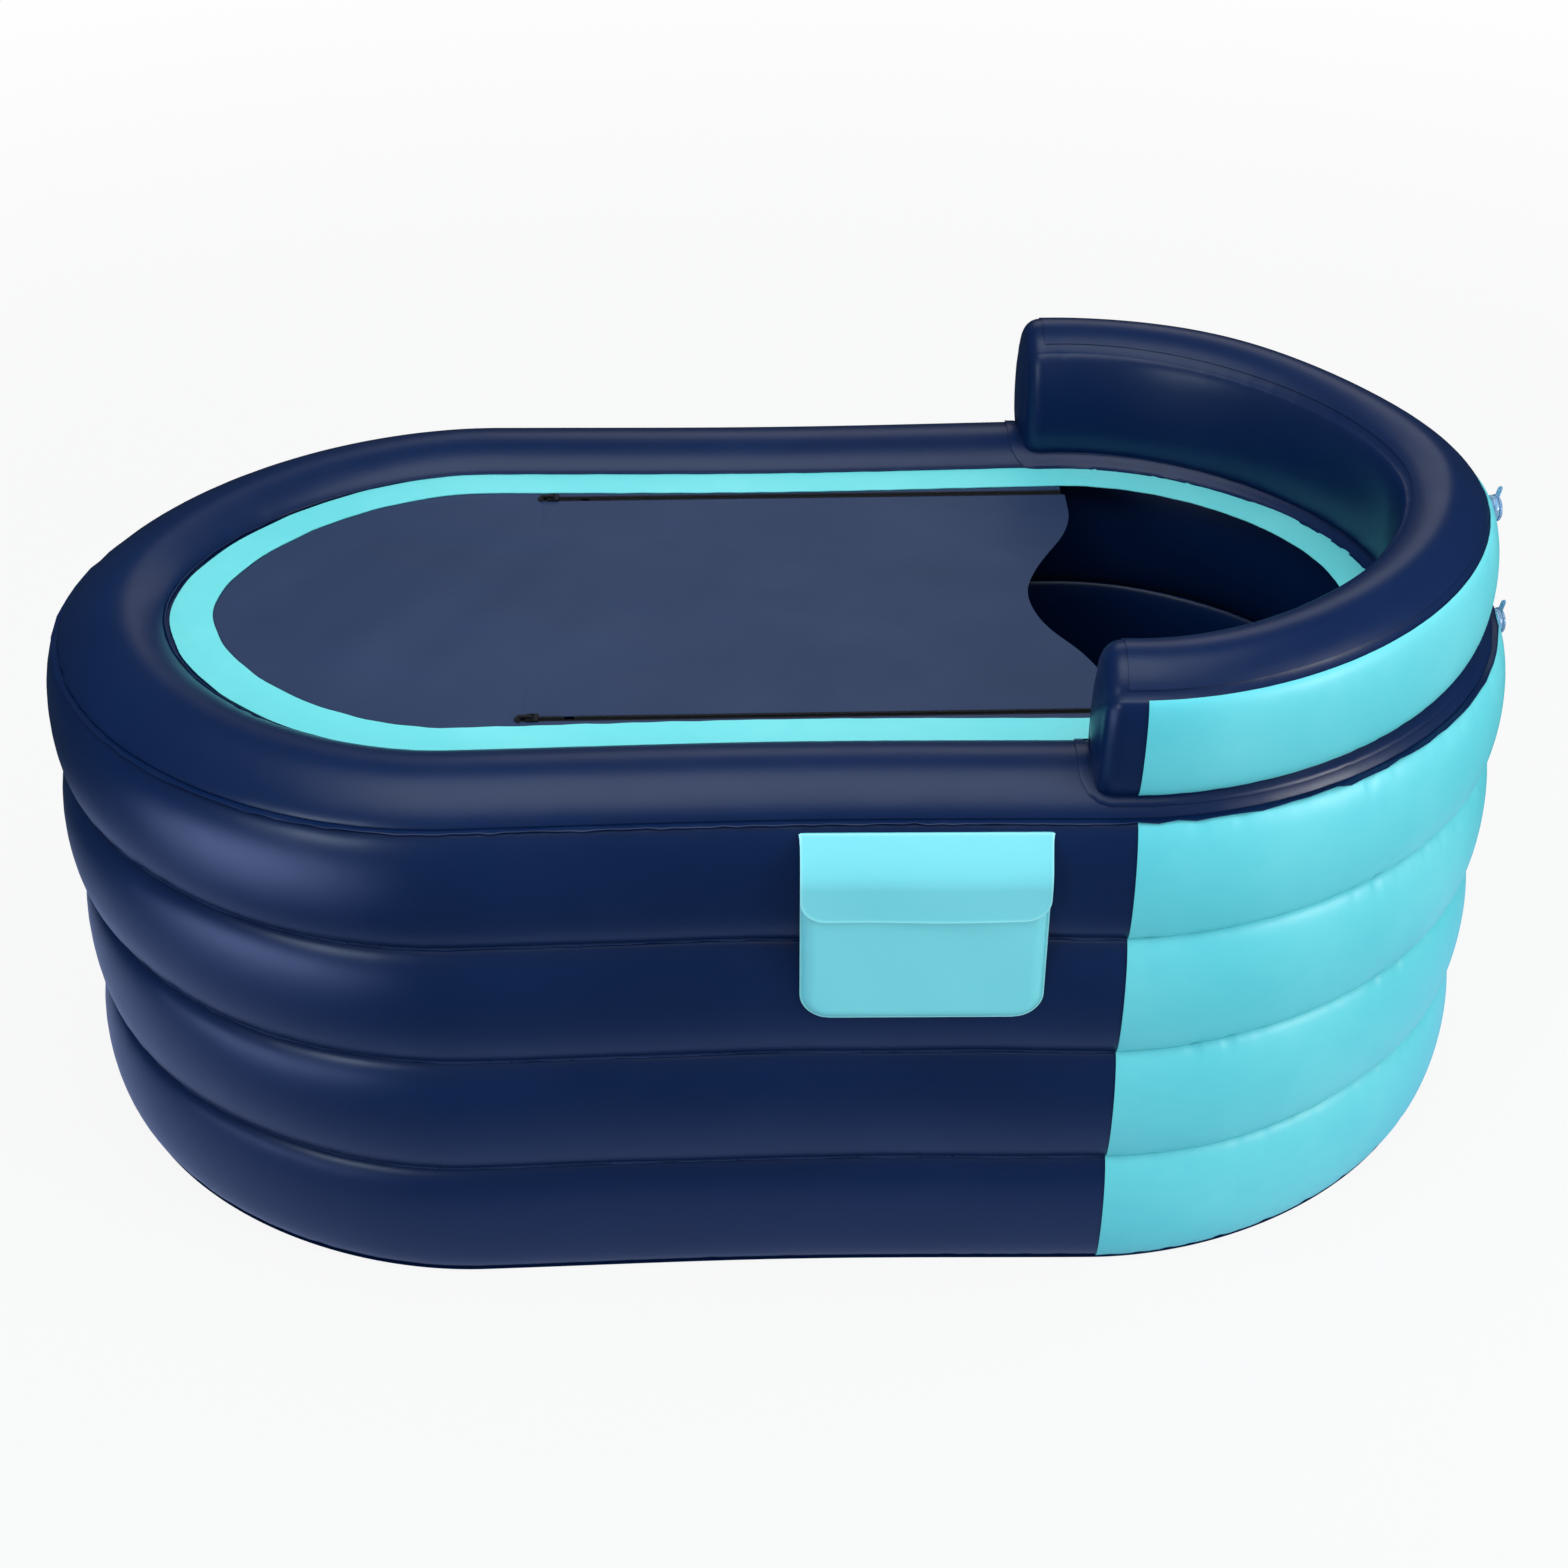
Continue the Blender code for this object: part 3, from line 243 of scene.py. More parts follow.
wall_width = 0.127
ring_bulge = 0.019
inner_bulge = 0.012
ring_height = 0.149
ring_count = 4
sheet = 0.001
fit_gap = 0.0003
web_space = sheet + 2 * fit_gap
wall_offset = wall_width + ring_bulge
tub_half_length, tub_half_width = 0.800, 0.430
inner_half_length = tub_half_length - wall_offset
inner_half_width = tub_half_width - wall_offset
end_length = 0.320
straight_half = inner_half_length - end_length
end_exponent = 1.82
side_draw_in = 0.009
side_draw_reach = 0.300
rim_height = ring_count * ring_height
rim_seam_width = 0.121
rim_seam_drop = 0.010
rim_seam_height = rim_height - rim_seam_drop
rim_weld_seat = 0.0008
rim_crown = 0.030
rim_crown_power = 0.7
rim_ledge = 0.0085
rim_seeds = (64, 70)
plan_count = 6000
plan_smoothing = 24
ring_rows = 1000
side_steps = 26
inner_steps = 16
crown_steps = 30
level_wobble = 0.0011
pucker_depth = 0.0016
pucker_reach = 0.020
fold_limit = 1.2
side_fold_share = 0.35
slow_swell = 0.0012
turn_from, turn_over = 0.28, 0.16
pocket_x = straight_half - 0.198
calm_half, calm_fade = 0.130, 0.060
valve_reach, valve_top = 0.0205, 0.0300
press_reach, press_fade, press_seat = 0.024, 0.062, 0.0017
press_limit = 0.02
navy = (0.0010, 0.0120, 0.0580, 1.0)
navy_worn = (0.0020, 0.0155, 0.0680, 1.0)


def lerp(low, high, share):
    """The value that lies a share of the way from low to high."""
    return low + (high - low) * share


def smooth(value):
    """A smooth step of a value from 0 to 1."""
    value = np.clip(value, 0.0, 1.0)
    return value * value * (3 - 2 * value)


def runs(line):
    """The distance along a line of points, from its start to each point."""
    return np.concatenate([[0.0], np.cumsum(np.hypot(*np.diff(line, axis=0).T))])


def plan_table():
    """Even points along the rim's inner edge, anticlockwise from the head tip, and their outward normals."""
    angle = np.linspace(0.0, pi / 2, 900)
    head = np.stack([straight_half + end_length * np.cos(angle) ** (2 / end_exponent),
                     inner_half_width * np.sin(angle) ** (2 / end_exponent)], 1)
    side_x = np.linspace(straight_half, -straight_half, 900)[1:-1]
    side = np.stack([side_x, np.full(len(side_x), inner_half_width)], 1)
    half = np.concatenate([head, side, head[::-1] * (-1, 1)])
    half[:, 1] *= 1 - side_draw_in * np.exp(-(half[:, 0] / side_draw_reach) ** 2) / inner_half_width
    loop = np.concatenate([half, half[-2:0:-1] * (1, -1), half[:1]])
    run = runs(loop)
    even = np.linspace(0.0, run[-1], plan_count, endpoint=False)
    points = np.stack([np.interp(even, run, loop[:, axis]) for axis in (0, 1)], 1)
    for _ in range(plan_smoothing):
        points = (np.roll(points, 1, 0) + 2 * points + np.roll(points, -1, 0)) / 4
    along = np.roll(points, -3, 0) - np.roll(points, 3, 0)
    along /= np.hypot(*along.T)[:, None]
    return points, np.stack([along[:, 1], -along[:, 0]], 1), run[-1]


plan_points, plan_normals, plan_length = plan_table()


def plan_at(turn, offset):
    """The points of the plan at shares of a turn from the head tip, moved outwards by an offset."""
    place = np.mod(np.asarray(turn), 1.0) * plan_count
    low = place.astype(int) % plan_count
    share = (place - np.floor(place))[..., None]
    point = lerp(plan_points[low], plan_points[(low + 1) % plan_count], share)
    normal = lerp(plan_normals[low], plan_normals[(low + 1) % plan_count], share)
    return point + normal * np.asarray(offset)[..., None]


def turn_at(x):
    """The share of a turn at which the rear side of the plan reaches x."""
    half = plan_points[:plan_count // 2, 0]
    return np.interp(-x, -half, np.arange(len(half)) / plan_count)


def bulged(low, high, bulge, steps):
    """A section line from low to high that swells sideways like half an ellipse."""
    angle = np.linspace(-pi / 2, pi / 2, steps + 1)
    share = (1 + np.sin(angle)) / 2
    return np.stack([lerp(low[0], high[0], share) + bulge * np.cos(angle), lerp(low[1], high[1], share)], 1)


def ring_levels(index):
    """The lowest and highest place of one chamber."""
    low = ring_height * index + web_space / 2 if index else sheet + fit_gap
    high = ring_height * (index + 1) - web_space / 2
    return low, rim_seam_height - rim_weld_seat if index == ring_count - 1 else high


def rim_line(steps=crown_steps):
    """The chamber's crowned top, from its outer seam to the ledge at the inner edge."""
    share = (1 - np.cos(np.linspace(0.0, pi, steps + 1))) / 2
    crown = rim_crown * np.sin(pi * share) ** rim_crown_power
    return np.stack([lerp(rim_seam_width, rim_ledge, share),
                     lerp(rim_seam_height + rim_weld_seat, rim_height - fit_gap, share) + crown], 1)


def ring_lines(index):
    """The outer side, any crowned top and the inner side of one chamber, each with the seeds of its welds."""
    low, high = ring_levels(index)
    last = index == ring_count - 1
    outer = bulged((wall_width, low), (rim_seam_width if last else wall_width, high), ring_bulge, side_steps)
    inner = bulged((0.0, rim_height - fit_gap if last else high), (0.0, low), -inner_bulge, inner_steps)
    crown = [(rim_line(), rim_seeds)] if last else []
    return [(outer, (60 + index, 61 + index))] + crown + [(inner, (72 + index, 71 + index))]


def ripple(turn, low, high, seed):
    """A seeded ripple round the tub with low to high waves in a turn, mostly within -1 to 1."""
    draw = np.random.default_rng(seed)
    waves = draw.integers(low, high + 1, 9)
    phases = draw.uniform(0.0, 2 * pi, 9)
    return np.sin(2 * pi * np.multiply.outer(turn, waves) + phases).sum(-1) / 3


def plan_x(turn):
    """Where along the tub the rim's inner edge is, at shares of a turn."""
    return plan_at(turn, np.zeros(np.shape(turn)))[..., 0]


def at_ends(turn):
    """How strongly the plan turns: 0 on the long sides and 1 round the ends."""
    return np.clip((np.abs(plan_x(turn)) - turn_from) / turn_over, 0.0, 1.0)


def level_shift(turn, level):
    """How far the weld below ring number level wanders up and down."""
    return level_wobble * ripple(turn, 6, 17, 40 + level) * (0 < level < ring_count)


def section_normals(line):
    """The outward directions of a section line that runs anticlockwise."""
    step = np.gradient(line, axis=0)
    step /= np.hypot(*step.T)[:, None] + 1e-12
    return np.stack([step[:, 1], -step[:, 0]], 1)


def puckers(turn, line, seeds, depth, reach, waves=(70, 150)):
    """Inward folds that run out from the welds at both ends of a section line."""
    run = runs(line)
    fade = lerp(side_fold_share, 1.0, at_ends(turn))
    found = np.zeros((len(turn), len(line)))
    for near, seed in ((run, seeds[0]), (run[-1] - run, seeds[1])):
        strength = 0.6 + 0.4 * ripple(turn, 8, 20, seed + 30)
        fold = np.clip(ripple(turn, *waves, seed) * strength, 0.0, fold_limit)
        found += np.outer(fold * fade, np.exp(-(near / reach) ** 1.5))
    return depth * found


def swept(turn, line, push, shift=0.0):
    """Carry a section line round the tub, pushed outwards and shifted upwards at each place."""
    normals = section_normals(line)
    flat = plan_at(np.repeat(turn[:, None], len(line), 1), line[:, 0] + normals[:, 0] * push)
    height = line[:, 1] + normals[:, 1] * push + shift
    return np.dstack([flat, np.broadcast_to(height, flat.shape[:2])])


def calm(turn):
    """1 in most places, and 0 where the pocket hangs."""
    x, y = np.moveaxis(plan_at(turn, np.zeros(np.shape(turn))), -1, 0)
    aside = np.clip((np.abs(x - pocket_x) - calm_half) / calm_fade, 0.0, 1.0)
    return np.where(y < 0, aside, 1.0)


def ring_surface(index, turn, line, seeds, lift=0.0):
    """The places of one section line of a chamber at shares of a turn, in rows."""
    low, high = ring_levels(index)
    level = np.clip((line[:, 1] - low) / (high - low), 0.0, 1.0)
    shift = lerp(level_shift(turn, index)[:, None], level_shift(turn, index + 1)[:, None], level)
    swell = slow_swell * np.outer(ripple(turn, 3, 9, 20 + index) * calm(turn), 4 * level * (1 - level))
    return swept(turn, line, lift + swell - puckers(turn, line, seeds, pucker_depth, pucker_reach), shift)


def joint_named(name):
    """One joint of the record."""
    return next(joint for joint in frame["record"]["behaviour"]["joints"] if joint["name"] == name)


def joint_place(name, aside, reach, top):
    """A fitting's own frame, from its cap's joint: X towards the strap, Y along the hinge, Z outwards."""
    joint = joint_named(name)
    x, y = Vector(aside), Vector(joint["axis"]).normalized()
    z = x.cross(y)
    place = Matrix((x, y, z)).transposed().to_4x4()
    place.translation = Vector(joint["pos_m"]) - x * reach - z * (top + fit_gap / 2)
    return place


def placed(local, place):
    """Carry places from a piece's own frame into the tub's."""
    return local @ np.array(place.to_3x3()).T + np.array(place.translation)


def valve_place(label):
    """The frame of a side valve, whose strap hangs downwards."""
    return joint_place(label + "_valve_cap_open", (0.0, 0.0, -1.0), valve_reach, valve_top)


def press(places, label, seat=press_seat):
    """Flatten a wall under the flange of a valve."""
    place = valve_place(label)
    outward = np.array(place.col[2][:3])
    away = places - np.array(place.translation)
    depth = away @ outward
    aside = np.linalg.norm(away - depth[..., None] * outward, axis=-1)
    push = np.clip(depth + seat, 0.0, press_limit) * smooth((press_fade - aside) / (press_fade - press_reach))
    return places - push[..., None] * outward


def dress(piece, body, slot, material, *nodes):
    """Give a finished piece its material, its body and the CAD nodes that it stands for. The slot is not
    used.
    """
    piece.data.materials.clear()
    piece.data.materials.append(material)
    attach(piece, body)
    if nodes:
        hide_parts(*nodes)
    piece.select_set(False)
    return piece


def shape(name, places):
    """Name the primitive that was just added, move its corners to their places and smooth it."""
    piece = bpy.context.object
    piece.name = name
    piece.data.name = name
    piece.data.vertices.foreach_set("co", np.ascontiguousarray(places, np.float32).ravel())
    piece.data.update()
    bpy.ops.object.mode_set(mode="EDIT")
    bpy.ops.mesh.select_all(action="SELECT")
    bpy.ops.mesh.normals_make_consistent(inside=False)
    bpy.ops.object.mode_set(mode="OBJECT")
    bpy.ops.object.shade_smooth_by_angle(angle=radians(50.0))
    return piece


def corners():
    """The places of the new primitive's corners."""
    mesh = bpy.context.object.data
    found = np.empty(len(mesh.vertices) * 3, np.float32)
    mesh.vertices.foreach_get("co", found)
    return found.reshape(-1, 3)


def closed_tube(name, places):
    """A torus whose rows run round the tub and whose columns run round the section."""
    rows, columns = places.shape[:2]
    bpy.ops.mesh.primitive_torus_add(major_segments=rows, minor_segments=columns,
                                     major_radius=1.0, minor_radius=0.25)
    x, y, z = corners().T
    row = np.rint(np.arctan2(y, x) / (2 * pi) * rows).astype(int) % rows
    column = np.rint(np.arctan2(z, np.hypot(x, y) - 1.0) / (2 * pi) * columns).astype(int) % columns
    return shape(name, places[row, column])


def open_tube(name, places):
    """A sphere whose rows run along the piece and whose poles close its two ends."""
    rows, columns = places.shape[:2]
    bpy.ops.mesh.primitive_uv_sphere_add(segments=columns, ring_count=rows + 1, radius=1.0)
    x, y, z = corners().T
    row = np.rint(np.arccos(np.clip(z, -1.0, 1.0)) / pi * (rows + 1)).astype(int) - 1
    column = np.rint((np.arctan2(y, x) / (2 * pi) - 0.25) * columns).astype(int) % columns
    found = places[np.clip(row, 0, rows - 1), column]
    found[row < 0] = places[0].mean(0)
    found[row >= rows] = places[-1].mean(0)
    return shape(name, found)


def closed_skin(lower, upper):
    """The closed section of a thin skin between two lines of places."""
    return np.concatenate([upper, lower[:, ::-1]], 1)


def vinyl(name, colour, worn, roughness, shine=0.2, wave=0.00045, grain=0.00002):
    """Satin PVC sheet: a fine grain, slight waves, and a colour that wears lighter in soft patches."""
    finish = Finish(name)
    place = finish.place()
    patches = finish.step(finish.noise(place, 5.0, 3.0), 0.35, 0.75)
    mottle = finish.noise(place, 60.0, 3.0)
    tint = finish.mix(patches * 0.7 + mottle * 0.3, colour, worn)
    waves = finish.bump(finish.noise(place, 14.0, 2.0), wave)
    crinkle = finish.bump(finish.noise(place, 70.0, 3.0), wave / 9, waves)
    fine = finish.bump(finish.noise(place, 1400.0, 2.0), grain, crinkle)
    return finish.set(Base_Color=tint, Roughness=roughness - 0.04 + 0.08 * finish.noise(place, 22.0, 3.0),
                      Normal=fine, Specular_IOR_Level=shine)


navy_vinyl = vinyl("navy_vinyl_sheet", navy, navy_worn, 0.35, shine=0.32)
ring_turns = np.arange(ring_rows) / ring_rows
for index in range(ring_count):
    sides = [ring_surface(index, ring_turns, *part) for part in ring_lines(index)]
    shared = 1 if index == ring_count - 1 else 0
    places = np.concatenate([sides[0]] + [side[:, shared:] for side in sides[1:]], 1)
    ring = closed_tube(f"ring_{index + 1}", press(places, f"ring_{index + 1}"))
    dress(ring, "tub", "navy_vinyl", navy_vinyl, f"ring_{index + 1}_chamber")


# Head panels
# Round the head end each ring's outer skin is light blue sheet, welded to the dark sheet along an upright
# seam. Each panel is a thin skin on its chamber, and stops just short of the welds above and below it.

skin_gap = 0.0004
skin_sheet = 0.0008
skin_lifts = (skin_gap, skin_gap + skin_sheet)
seam_x = straight_half + 0.003
seam_turn = turn_at(seam_x)
head_rows = 620
aqua = (0.090, 0.560, 0.630, 1.0)
aqua_worn = (0.150, 0.640, 0.690, 1.0)

aqua_vinyl = vinyl("aqua_vinyl_sheet", aqua, aqua_worn, 0.42, shine=0.45)
head_turns = np.linspace(-seam_turn, seam_turn, head_rows)
for index in range(ring_count):
    line, seeds = ring_lines(index)[0]
    faces = [ring_surface(index, head_turns, line, seeds, lift)[:, 1:-1] for lift in skin_lifts]
    faces = [press(face, f"ring_{index + 1}", press_seat - lift) for face, lift in zip(faces, skin_lifts)]
    panel = open_tube(f"ring_{index + 1}_head_skin", closed_skin(*faces))
    dress(panel, "tub", "aqua_vinyl", aqua_vinyl, f"ring_{index + 1}_head_panel")


# Welds between the rings
# Each pair of chambers is welded through a flat web. Its lip stands a few millimetres proud in the groove,
# crimped by the weld. Round the head end it is light blue. On the dark sheet it is dark blue, painted a
# lighter grey blue there as a highlight along the lip.

web_rows = 2400
web_free = 0.0055
lip_wave, lip_sway = 0.0007, 0.0005
lip_limit = 1.1
# The lips on the dark sheet are dark blue, and this lighter grey blue is a painted highlight along them.
lip_painted_highlight = (0.028, 0.055, 0.150, 1.0)


def lip_line(lower):
    """The closed section of a lip, from the points of its lower side, the last of which is the tip."""
    return np.array(lower + [(offset, -height) for offset, height in lower[-2::-1]])


def lip(name, turns, line, free_width, level, wave, up_waves, side_waves):
    """A crimped lip of weld round the tub, whose free edge waves up and down, and in and out."""
    free = np.clip(1 + (line[:, 0] - line[:, 0].max()) / free_width, 0.0, 1.0)
    up, side = [np.clip(ripple(turns, *waves), -lip_limit, lip_limit) for waves in (up_waves, side_waves)]
    flat = plan_at(np.repeat(turns[:, None], len(line), 1), line[:, 0] + lip_sway * np.outer(side, free))
    return closed_tube(name, np.dstack([flat, level[:, None] + line[:, 1] + np.outer(wave * up, free)]))


def two_tone(name, dark, light):
    """Vinyl that is dark up to the upright seam and light round the head end."""
    finish = Finish(name)
    place = finish.place()
    along = finish.node("ShaderNodeSeparateXYZ", {}, {0: place})
    head = finish.step(along, seam_x - 0.0005, seam_x + 0.0005)
    patches = finish.noise(place, 90.0, 2.0)
    rough = finish.bump(finish.noise(place, 500.0, 2.0), 0.0001)
    return finish.set(Base_Color=finish.mix(head, dark, light), Roughness=0.24 + 0.10 * patches, Normal=rough,
                      Specular_IOR_Level=0.9)


# Up to the seam the lip gets the painted highlight colour, and round the head end the light blue sheet's own
# colour.
lip_vinyl = two_tone("weld_lip", lip_painted_highlight, aqua_worn)
web_line = lip_line([(0.0045, -0.0004), (0.1000, -0.0004), (0.1260, -0.0004), (0.1285, -0.0004),
                     (0.1305, -0.00035), (0.1315, 0.0)])
web_turns = np.arange(web_rows) / web_rows
for index in range(1, ring_count):
    level = ring_height * index + level_shift(web_turns, index)
    web = lip(f"web_{index}", web_turns, web_line, web_free, level, lip_wave, (180, 330, 90 + index),
              (60, 200, 95 + index))
    dress(web, "tub", "aqua_vinyl", lip_vinyl, f"ring_web_{index}")


# Top of the rim
# The upper ring's crowned top is its own panel, welded to the side round a crimped outer seam that runs right
# round the tub. A thin bead of weld closes the panel's inner edge beside the cover's border.

top_rows = 1000
seam_rows = 3000
seam_free = 0.007
seam_wave = 0.0010
seam_head_from, seam_head_over = 0.25, 0.10
bead_radius = 0.0011
bead_middle = 0.0070
bead_sway = 0.0004
bead_columns = 8

top_turns = np.arange(top_rows) / top_rows
faces = [ring_surface(ring_count - 1, top_turns, rim_line(), rim_seeds, lift)[:, 1:-1] for lift in skin_lifts]
top = closed_tube("rim_top", closed_skin(*faces))
dress(top, "tub", "navy_vinyl", navy_vinyl, "rim_top_panel")

seam_turns = np.arange(seam_rows) / seam_rows
seam_line = lip_line([(0.1213, -0.0005), (0.1240, -0.0005), (0.1262, -0.0005), (0.1278, -0.0004),
                      (0.1283, 0.0)])
head_share = np.clip((plan_x(seam_turns) - seam_head_from) / seam_head_over, 0.0, 1.0)
crimp = seam_wave * (1.1 + 0.5 * head_share + 0.4 * at_ends(seam_turns))
seam = lip("rim_seam", seam_turns, seam_line, seam_free, np.full(seam_rows, rim_seam_height), crimp,
           (220, 420, 101), (90, 300, 102))
dress(seam, "tub", "navy_vinyl", navy_vinyl, "rim_outer_weld")

angle = np.arange(bead_columns) * 2 * pi / bead_columns
sway = bead_sway * ripple(top_turns, 30, 90, 103)[:, None]
offset = bead_middle + sway + bead_radius * np.cos(angle)
flat = plan_at(np.repeat(top_turns[:, None], bead_columns, 1), offset)
height = np.repeat([rim_height + sheet + bead_radius * (1.2 + np.sin(angle))], top_rows, 0)
bead = closed_tube("rim_inner_bead", np.dstack([flat, height]))
dress(bead, "tub", "navy_vinyl", navy_vinyl)


# Backrest
# A curved chamber is welded on the rim round the head end and leans outwards at its arms. Its outer side is
# light blue, its top and ends are dark, and air rounds the ends. A crimped skirt runs round its foot.

arm_x = straight_half - 0.036
arm_turn = turn_at(arm_x)
rest_inner, rest_outer = 0.016, 0.103
rest_outer_seam = (0.096, rim_height + 0.126)
rest_inner_seam = (0.013, rim_height + 0.137)
rest_seat = sheet + 3 * fit_gap
rest_inset = 0.002
rest_side_bulge = 0.013
rest_crown = 0.026
rest_end_round = 0.020
rest_end_swell = 0.006
rest_face_shares = (0.85, 0.65, 0.45, 0.25, 0.1)
rest_lean, rest_spread = 0.016, 0.006
rest_pucker_depth, rest_pucker_reach = 0.0006, 0.007
rest_seeds = ((110, 111), (111, 112), (112, 113))
rest_rows = 560
rest_side_steps = 22
rest_top_steps = 18


def rim_surface_line(lift):
    """The rim's crown, lifted off."""
    line = rim_line()
    return line + section_normals(line) * lift


def rim_height_at(offset, lift):
    """The height of the rim's crown, lifted off, at an offset."""
    line = rim_surface_line(lift)[::-1]
    return np.interp(offset, line[:, 0], line[:, 1])


def rest_lines():
    """The outer side, the top and the inner side of the backrest."""
    outer_foot = (rest_outer, rim_height_at(rest_outer, rest_seat))
    inner_foot = (rest_inner, rim_height_at(rest_inner, rest_seat))
    outer = bulged(outer_foot, rest_outer_seam, rest_side_bulge, rest_side_steps)
    inner = bulged(rest_inner_seam, inner_foot, -rest_side_bulge, rest_side_steps)
    share = np.linspace(0.0, 1.0, rest_top_steps + 1)
    crown = rest_crown * np.sin(pi * share) ** rim_crown_power
    top = np.stack([lerp(rest_outer_seam[0], rest_inner_seam[0], share),
                    lerp(rest_outer_seam[1], rest_inner_seam[1], share) + crown], 1)
    return outer, top, inner


def rest_surface(turn, line, seeds, lift=0.0):
    """The places of one line of the backrest's section."""
    run = runs(line)
    run = run / run[-1]
    swell = slow_swell * np.outer(ripple(turn, 4, 12, seeds[0] + 5), 4 * run * (1 - run))
    folds = puckers(turn, line, seeds, rest_pucker_depth, rest_pucker_reach)
    places = swept(turn, line, lift + swell - folds)
    rise = np.clip((line[:, 1] - rim_height) / (rest_outer_seam[1] - rim_height), 0.0, 1.2)
    side = plan_at(turn, np.zeros(len(turn)))[:, 1] / inner_half_width
    places[..., 1] += np.outer(side * np.abs(side), rest_spread + rest_lean * rise)
    return places


def arm_end(places):
    """Close one arm of the backrest, towards the foot end, with a round edge and a swollen face."""
    away = np.array([-1.0, 0.0, 0.0])
    foot = places[:, 2].min()
    middle = places.mean(0)
    middle[2] = lerp(foot, places[:, 2].max(), 0.45)
    across = places[:, 1] - middle[1]
    rise = places[:, 2] - foot
    rows = []
    for angle in np.radians(np.linspace(80.0, 0.0, 9)):
        inset = rest_end_round * (1 - sin(angle))
        row = places + away * rest_end_round * cos(angle)
        row[:, 1] -= across * inset / np.abs(across).max()
        row[:, 2] -= rise * inset / rise.max()
        rows.append(row)
    middle, edge = middle + away * rest_end_round, rows[-1]
    for share in rest_face_shares:
        rows.append(lerp(middle, edge, share) + away * rest_end_swell * (1 - share ** 2))
    return rows


turns = np.linspace(-arm_turn, arm_turn, rest_rows)
foot_line = rim_surface_line(rest_seat)[::-1]
foot_line = foot_line[(foot_line[:, 0] > rest_inner + rest_inset)
                      & (foot_line[:, 0] < rest_outer - rest_inset)]
outer, top, inner = [rest_surface(turns, line, seeds) for line, seeds in zip(rest_lines(), rest_seeds)]
body = press(np.concatenate([outer, top[:, 1:-1], inner, swept(turns, foot_line, 0.0)], 1), "backrest")
cut = np.searchsorted(turns, turn_at(arm_x + rest_end_round))
body = body[rest_rows - cut:cut]
rows = np.concatenate([np.array(arm_end(body[0])[::-1]), body, np.array(arm_end(body[-1]))])
dress(open_tube("backrest", rows), "tub", "navy_vinyl", navy_vinyl, "backrest_chamber")

turns = np.linspace(-seam_turn, seam_turn, head_rows)
faces = [rest_surface(turns, rest_lines()[0], rest_seeds[0], lift)[:, 1:-1] for lift in skin_lifts]
faces = [press(face, "backrest", press_seat - lift) for face, lift in zip(faces, skin_lifts)]
panel = open_tube("backrest_outer_skin", closed_skin(*faces))
dress(panel, "tub", "aqua_vinyl", aqua_vinyl, "backrest_outer_panel")

limit = turn_at(arm_x + rest_end_round + rest_inset)
turns = np.linspace(-limit, limit, head_rows)
faces = [rest_surface(turns, rest_lines()[1], rest_seeds[1], lift)[:, 1:-1] for lift in skin_lifts]
panel = open_tube("backrest_top_skin", closed_skin(*faces))
dress(panel, "tub", "navy_vinyl", navy_vinyl, "backrest_top_panel")

skirt_width = 0.0095
skirt_lap = 0.0040
skirt_corner = 0.020
skirt_crimp, crimp_floor = 0.0011, 0.6
skirt_rows = 3000
skirt_shares = np.array([0.0, 0.35, 0.7, 1.0, 1.0, 0.7, 0.35, 0.0])
skirt_levels = np.array([0, 0, 0, 0.3, 0.7, 1, 1, 1]) * sheet


def rounded_loop(half_length, low, high, corner, count):
    """Even points round a rectangle with round corners, as (run, offset), and their outward directions."""
    right = half_length - corner
    middles = ((right, low + corner), (right, high - corner), (-right, high - corner), (-right, low + corner))
    points = []
    for quarter, (run, offset) in enumerate(middles):
        for angle in np.radians(np.linspace(quarter * 90 - 90, quarter * 90, 24)):
            points.append((run + corner * cos(angle), offset + corner * sin(angle), cos(angle), sin(angle)))
    points = np.array(points + points[:1])
    distance = runs(points[:, :2])
    even = np.linspace(0.0, distance[-1], count, endpoint=False)
    return np.stack([np.interp(even, distance, points[:, axis]) for axis in range(4)], 1)


loop = rounded_loop(arm_turn * plan_length + skirt_lap, rest_inner - skirt_lap, rest_outer + skirt_lap,
                    skirt_corner, skirt_rows)
share = np.arange(skirt_rows) / skirt_rows
crimp = np.clip(ripple(share, 200, 380, 121), -crimp_floor, fold_limit) + crimp_floor
crimp = skirt_crimp * crimp * (0.8 + 0.4 * ripple(share, 20, 50, 122))
run = loop[:, 0:1] + loop[:, 2:3] * skirt_shares * skirt_width
offset = loop[:, 1:2] + loop[:, 3:4] * skirt_shares * skirt_width
height = rim_height_at(offset, rest_seat) + skirt_levels + np.outer(crimp, skirt_shares ** 2)
skirt = closed_tube("backrest_skirt", np.dstack([plan_at(run / plan_length, offset), height]))
dress(skirt, "tub", "navy_vinyl", navy_vinyl, "backrest_weld")


# Bottom sheet and floor cushion
# The lowest ring is welded to a flat sheet, with a narrow lip round its edge. On it lies the floor cushion,
# an air mattress with welded channels along its length.

base_lip = 0.006
base_columns = 720
cushion_clearance = 0.018
cushion_edge = 0.022
cushion_crown = 0.040
cushion_channels = 5
cushion_channel_depth = 0.018
cushion_reach_share = 0.985
cushion_rows = 170
cushion_columns = 160

turns = np.arange(base_columns) / base_columns
rim = plan_at(turns, np.full(base_columns, wall_width + base_lip))
shares = np.array([0.25, 0.6, 0.9, 0.985, 1.0, 1.0, 0.985, 0.9, 0.6, 0.25])
heights = np.array([1, 1, 1, 1, 0.75, 0.25, 0, 0, 0, 0]) * sheet
places = np.dstack([np.multiply.outer(shares, rim[:, 0]), np.multiply.outer(shares, rim[:, 1]),
                    np.repeat(heights[:, None], base_columns, 1)])
base = open_tube("bottom_sheet", places)
dress(base, "tub", "navy_vinyl", navy_vinyl, "base_sheet")

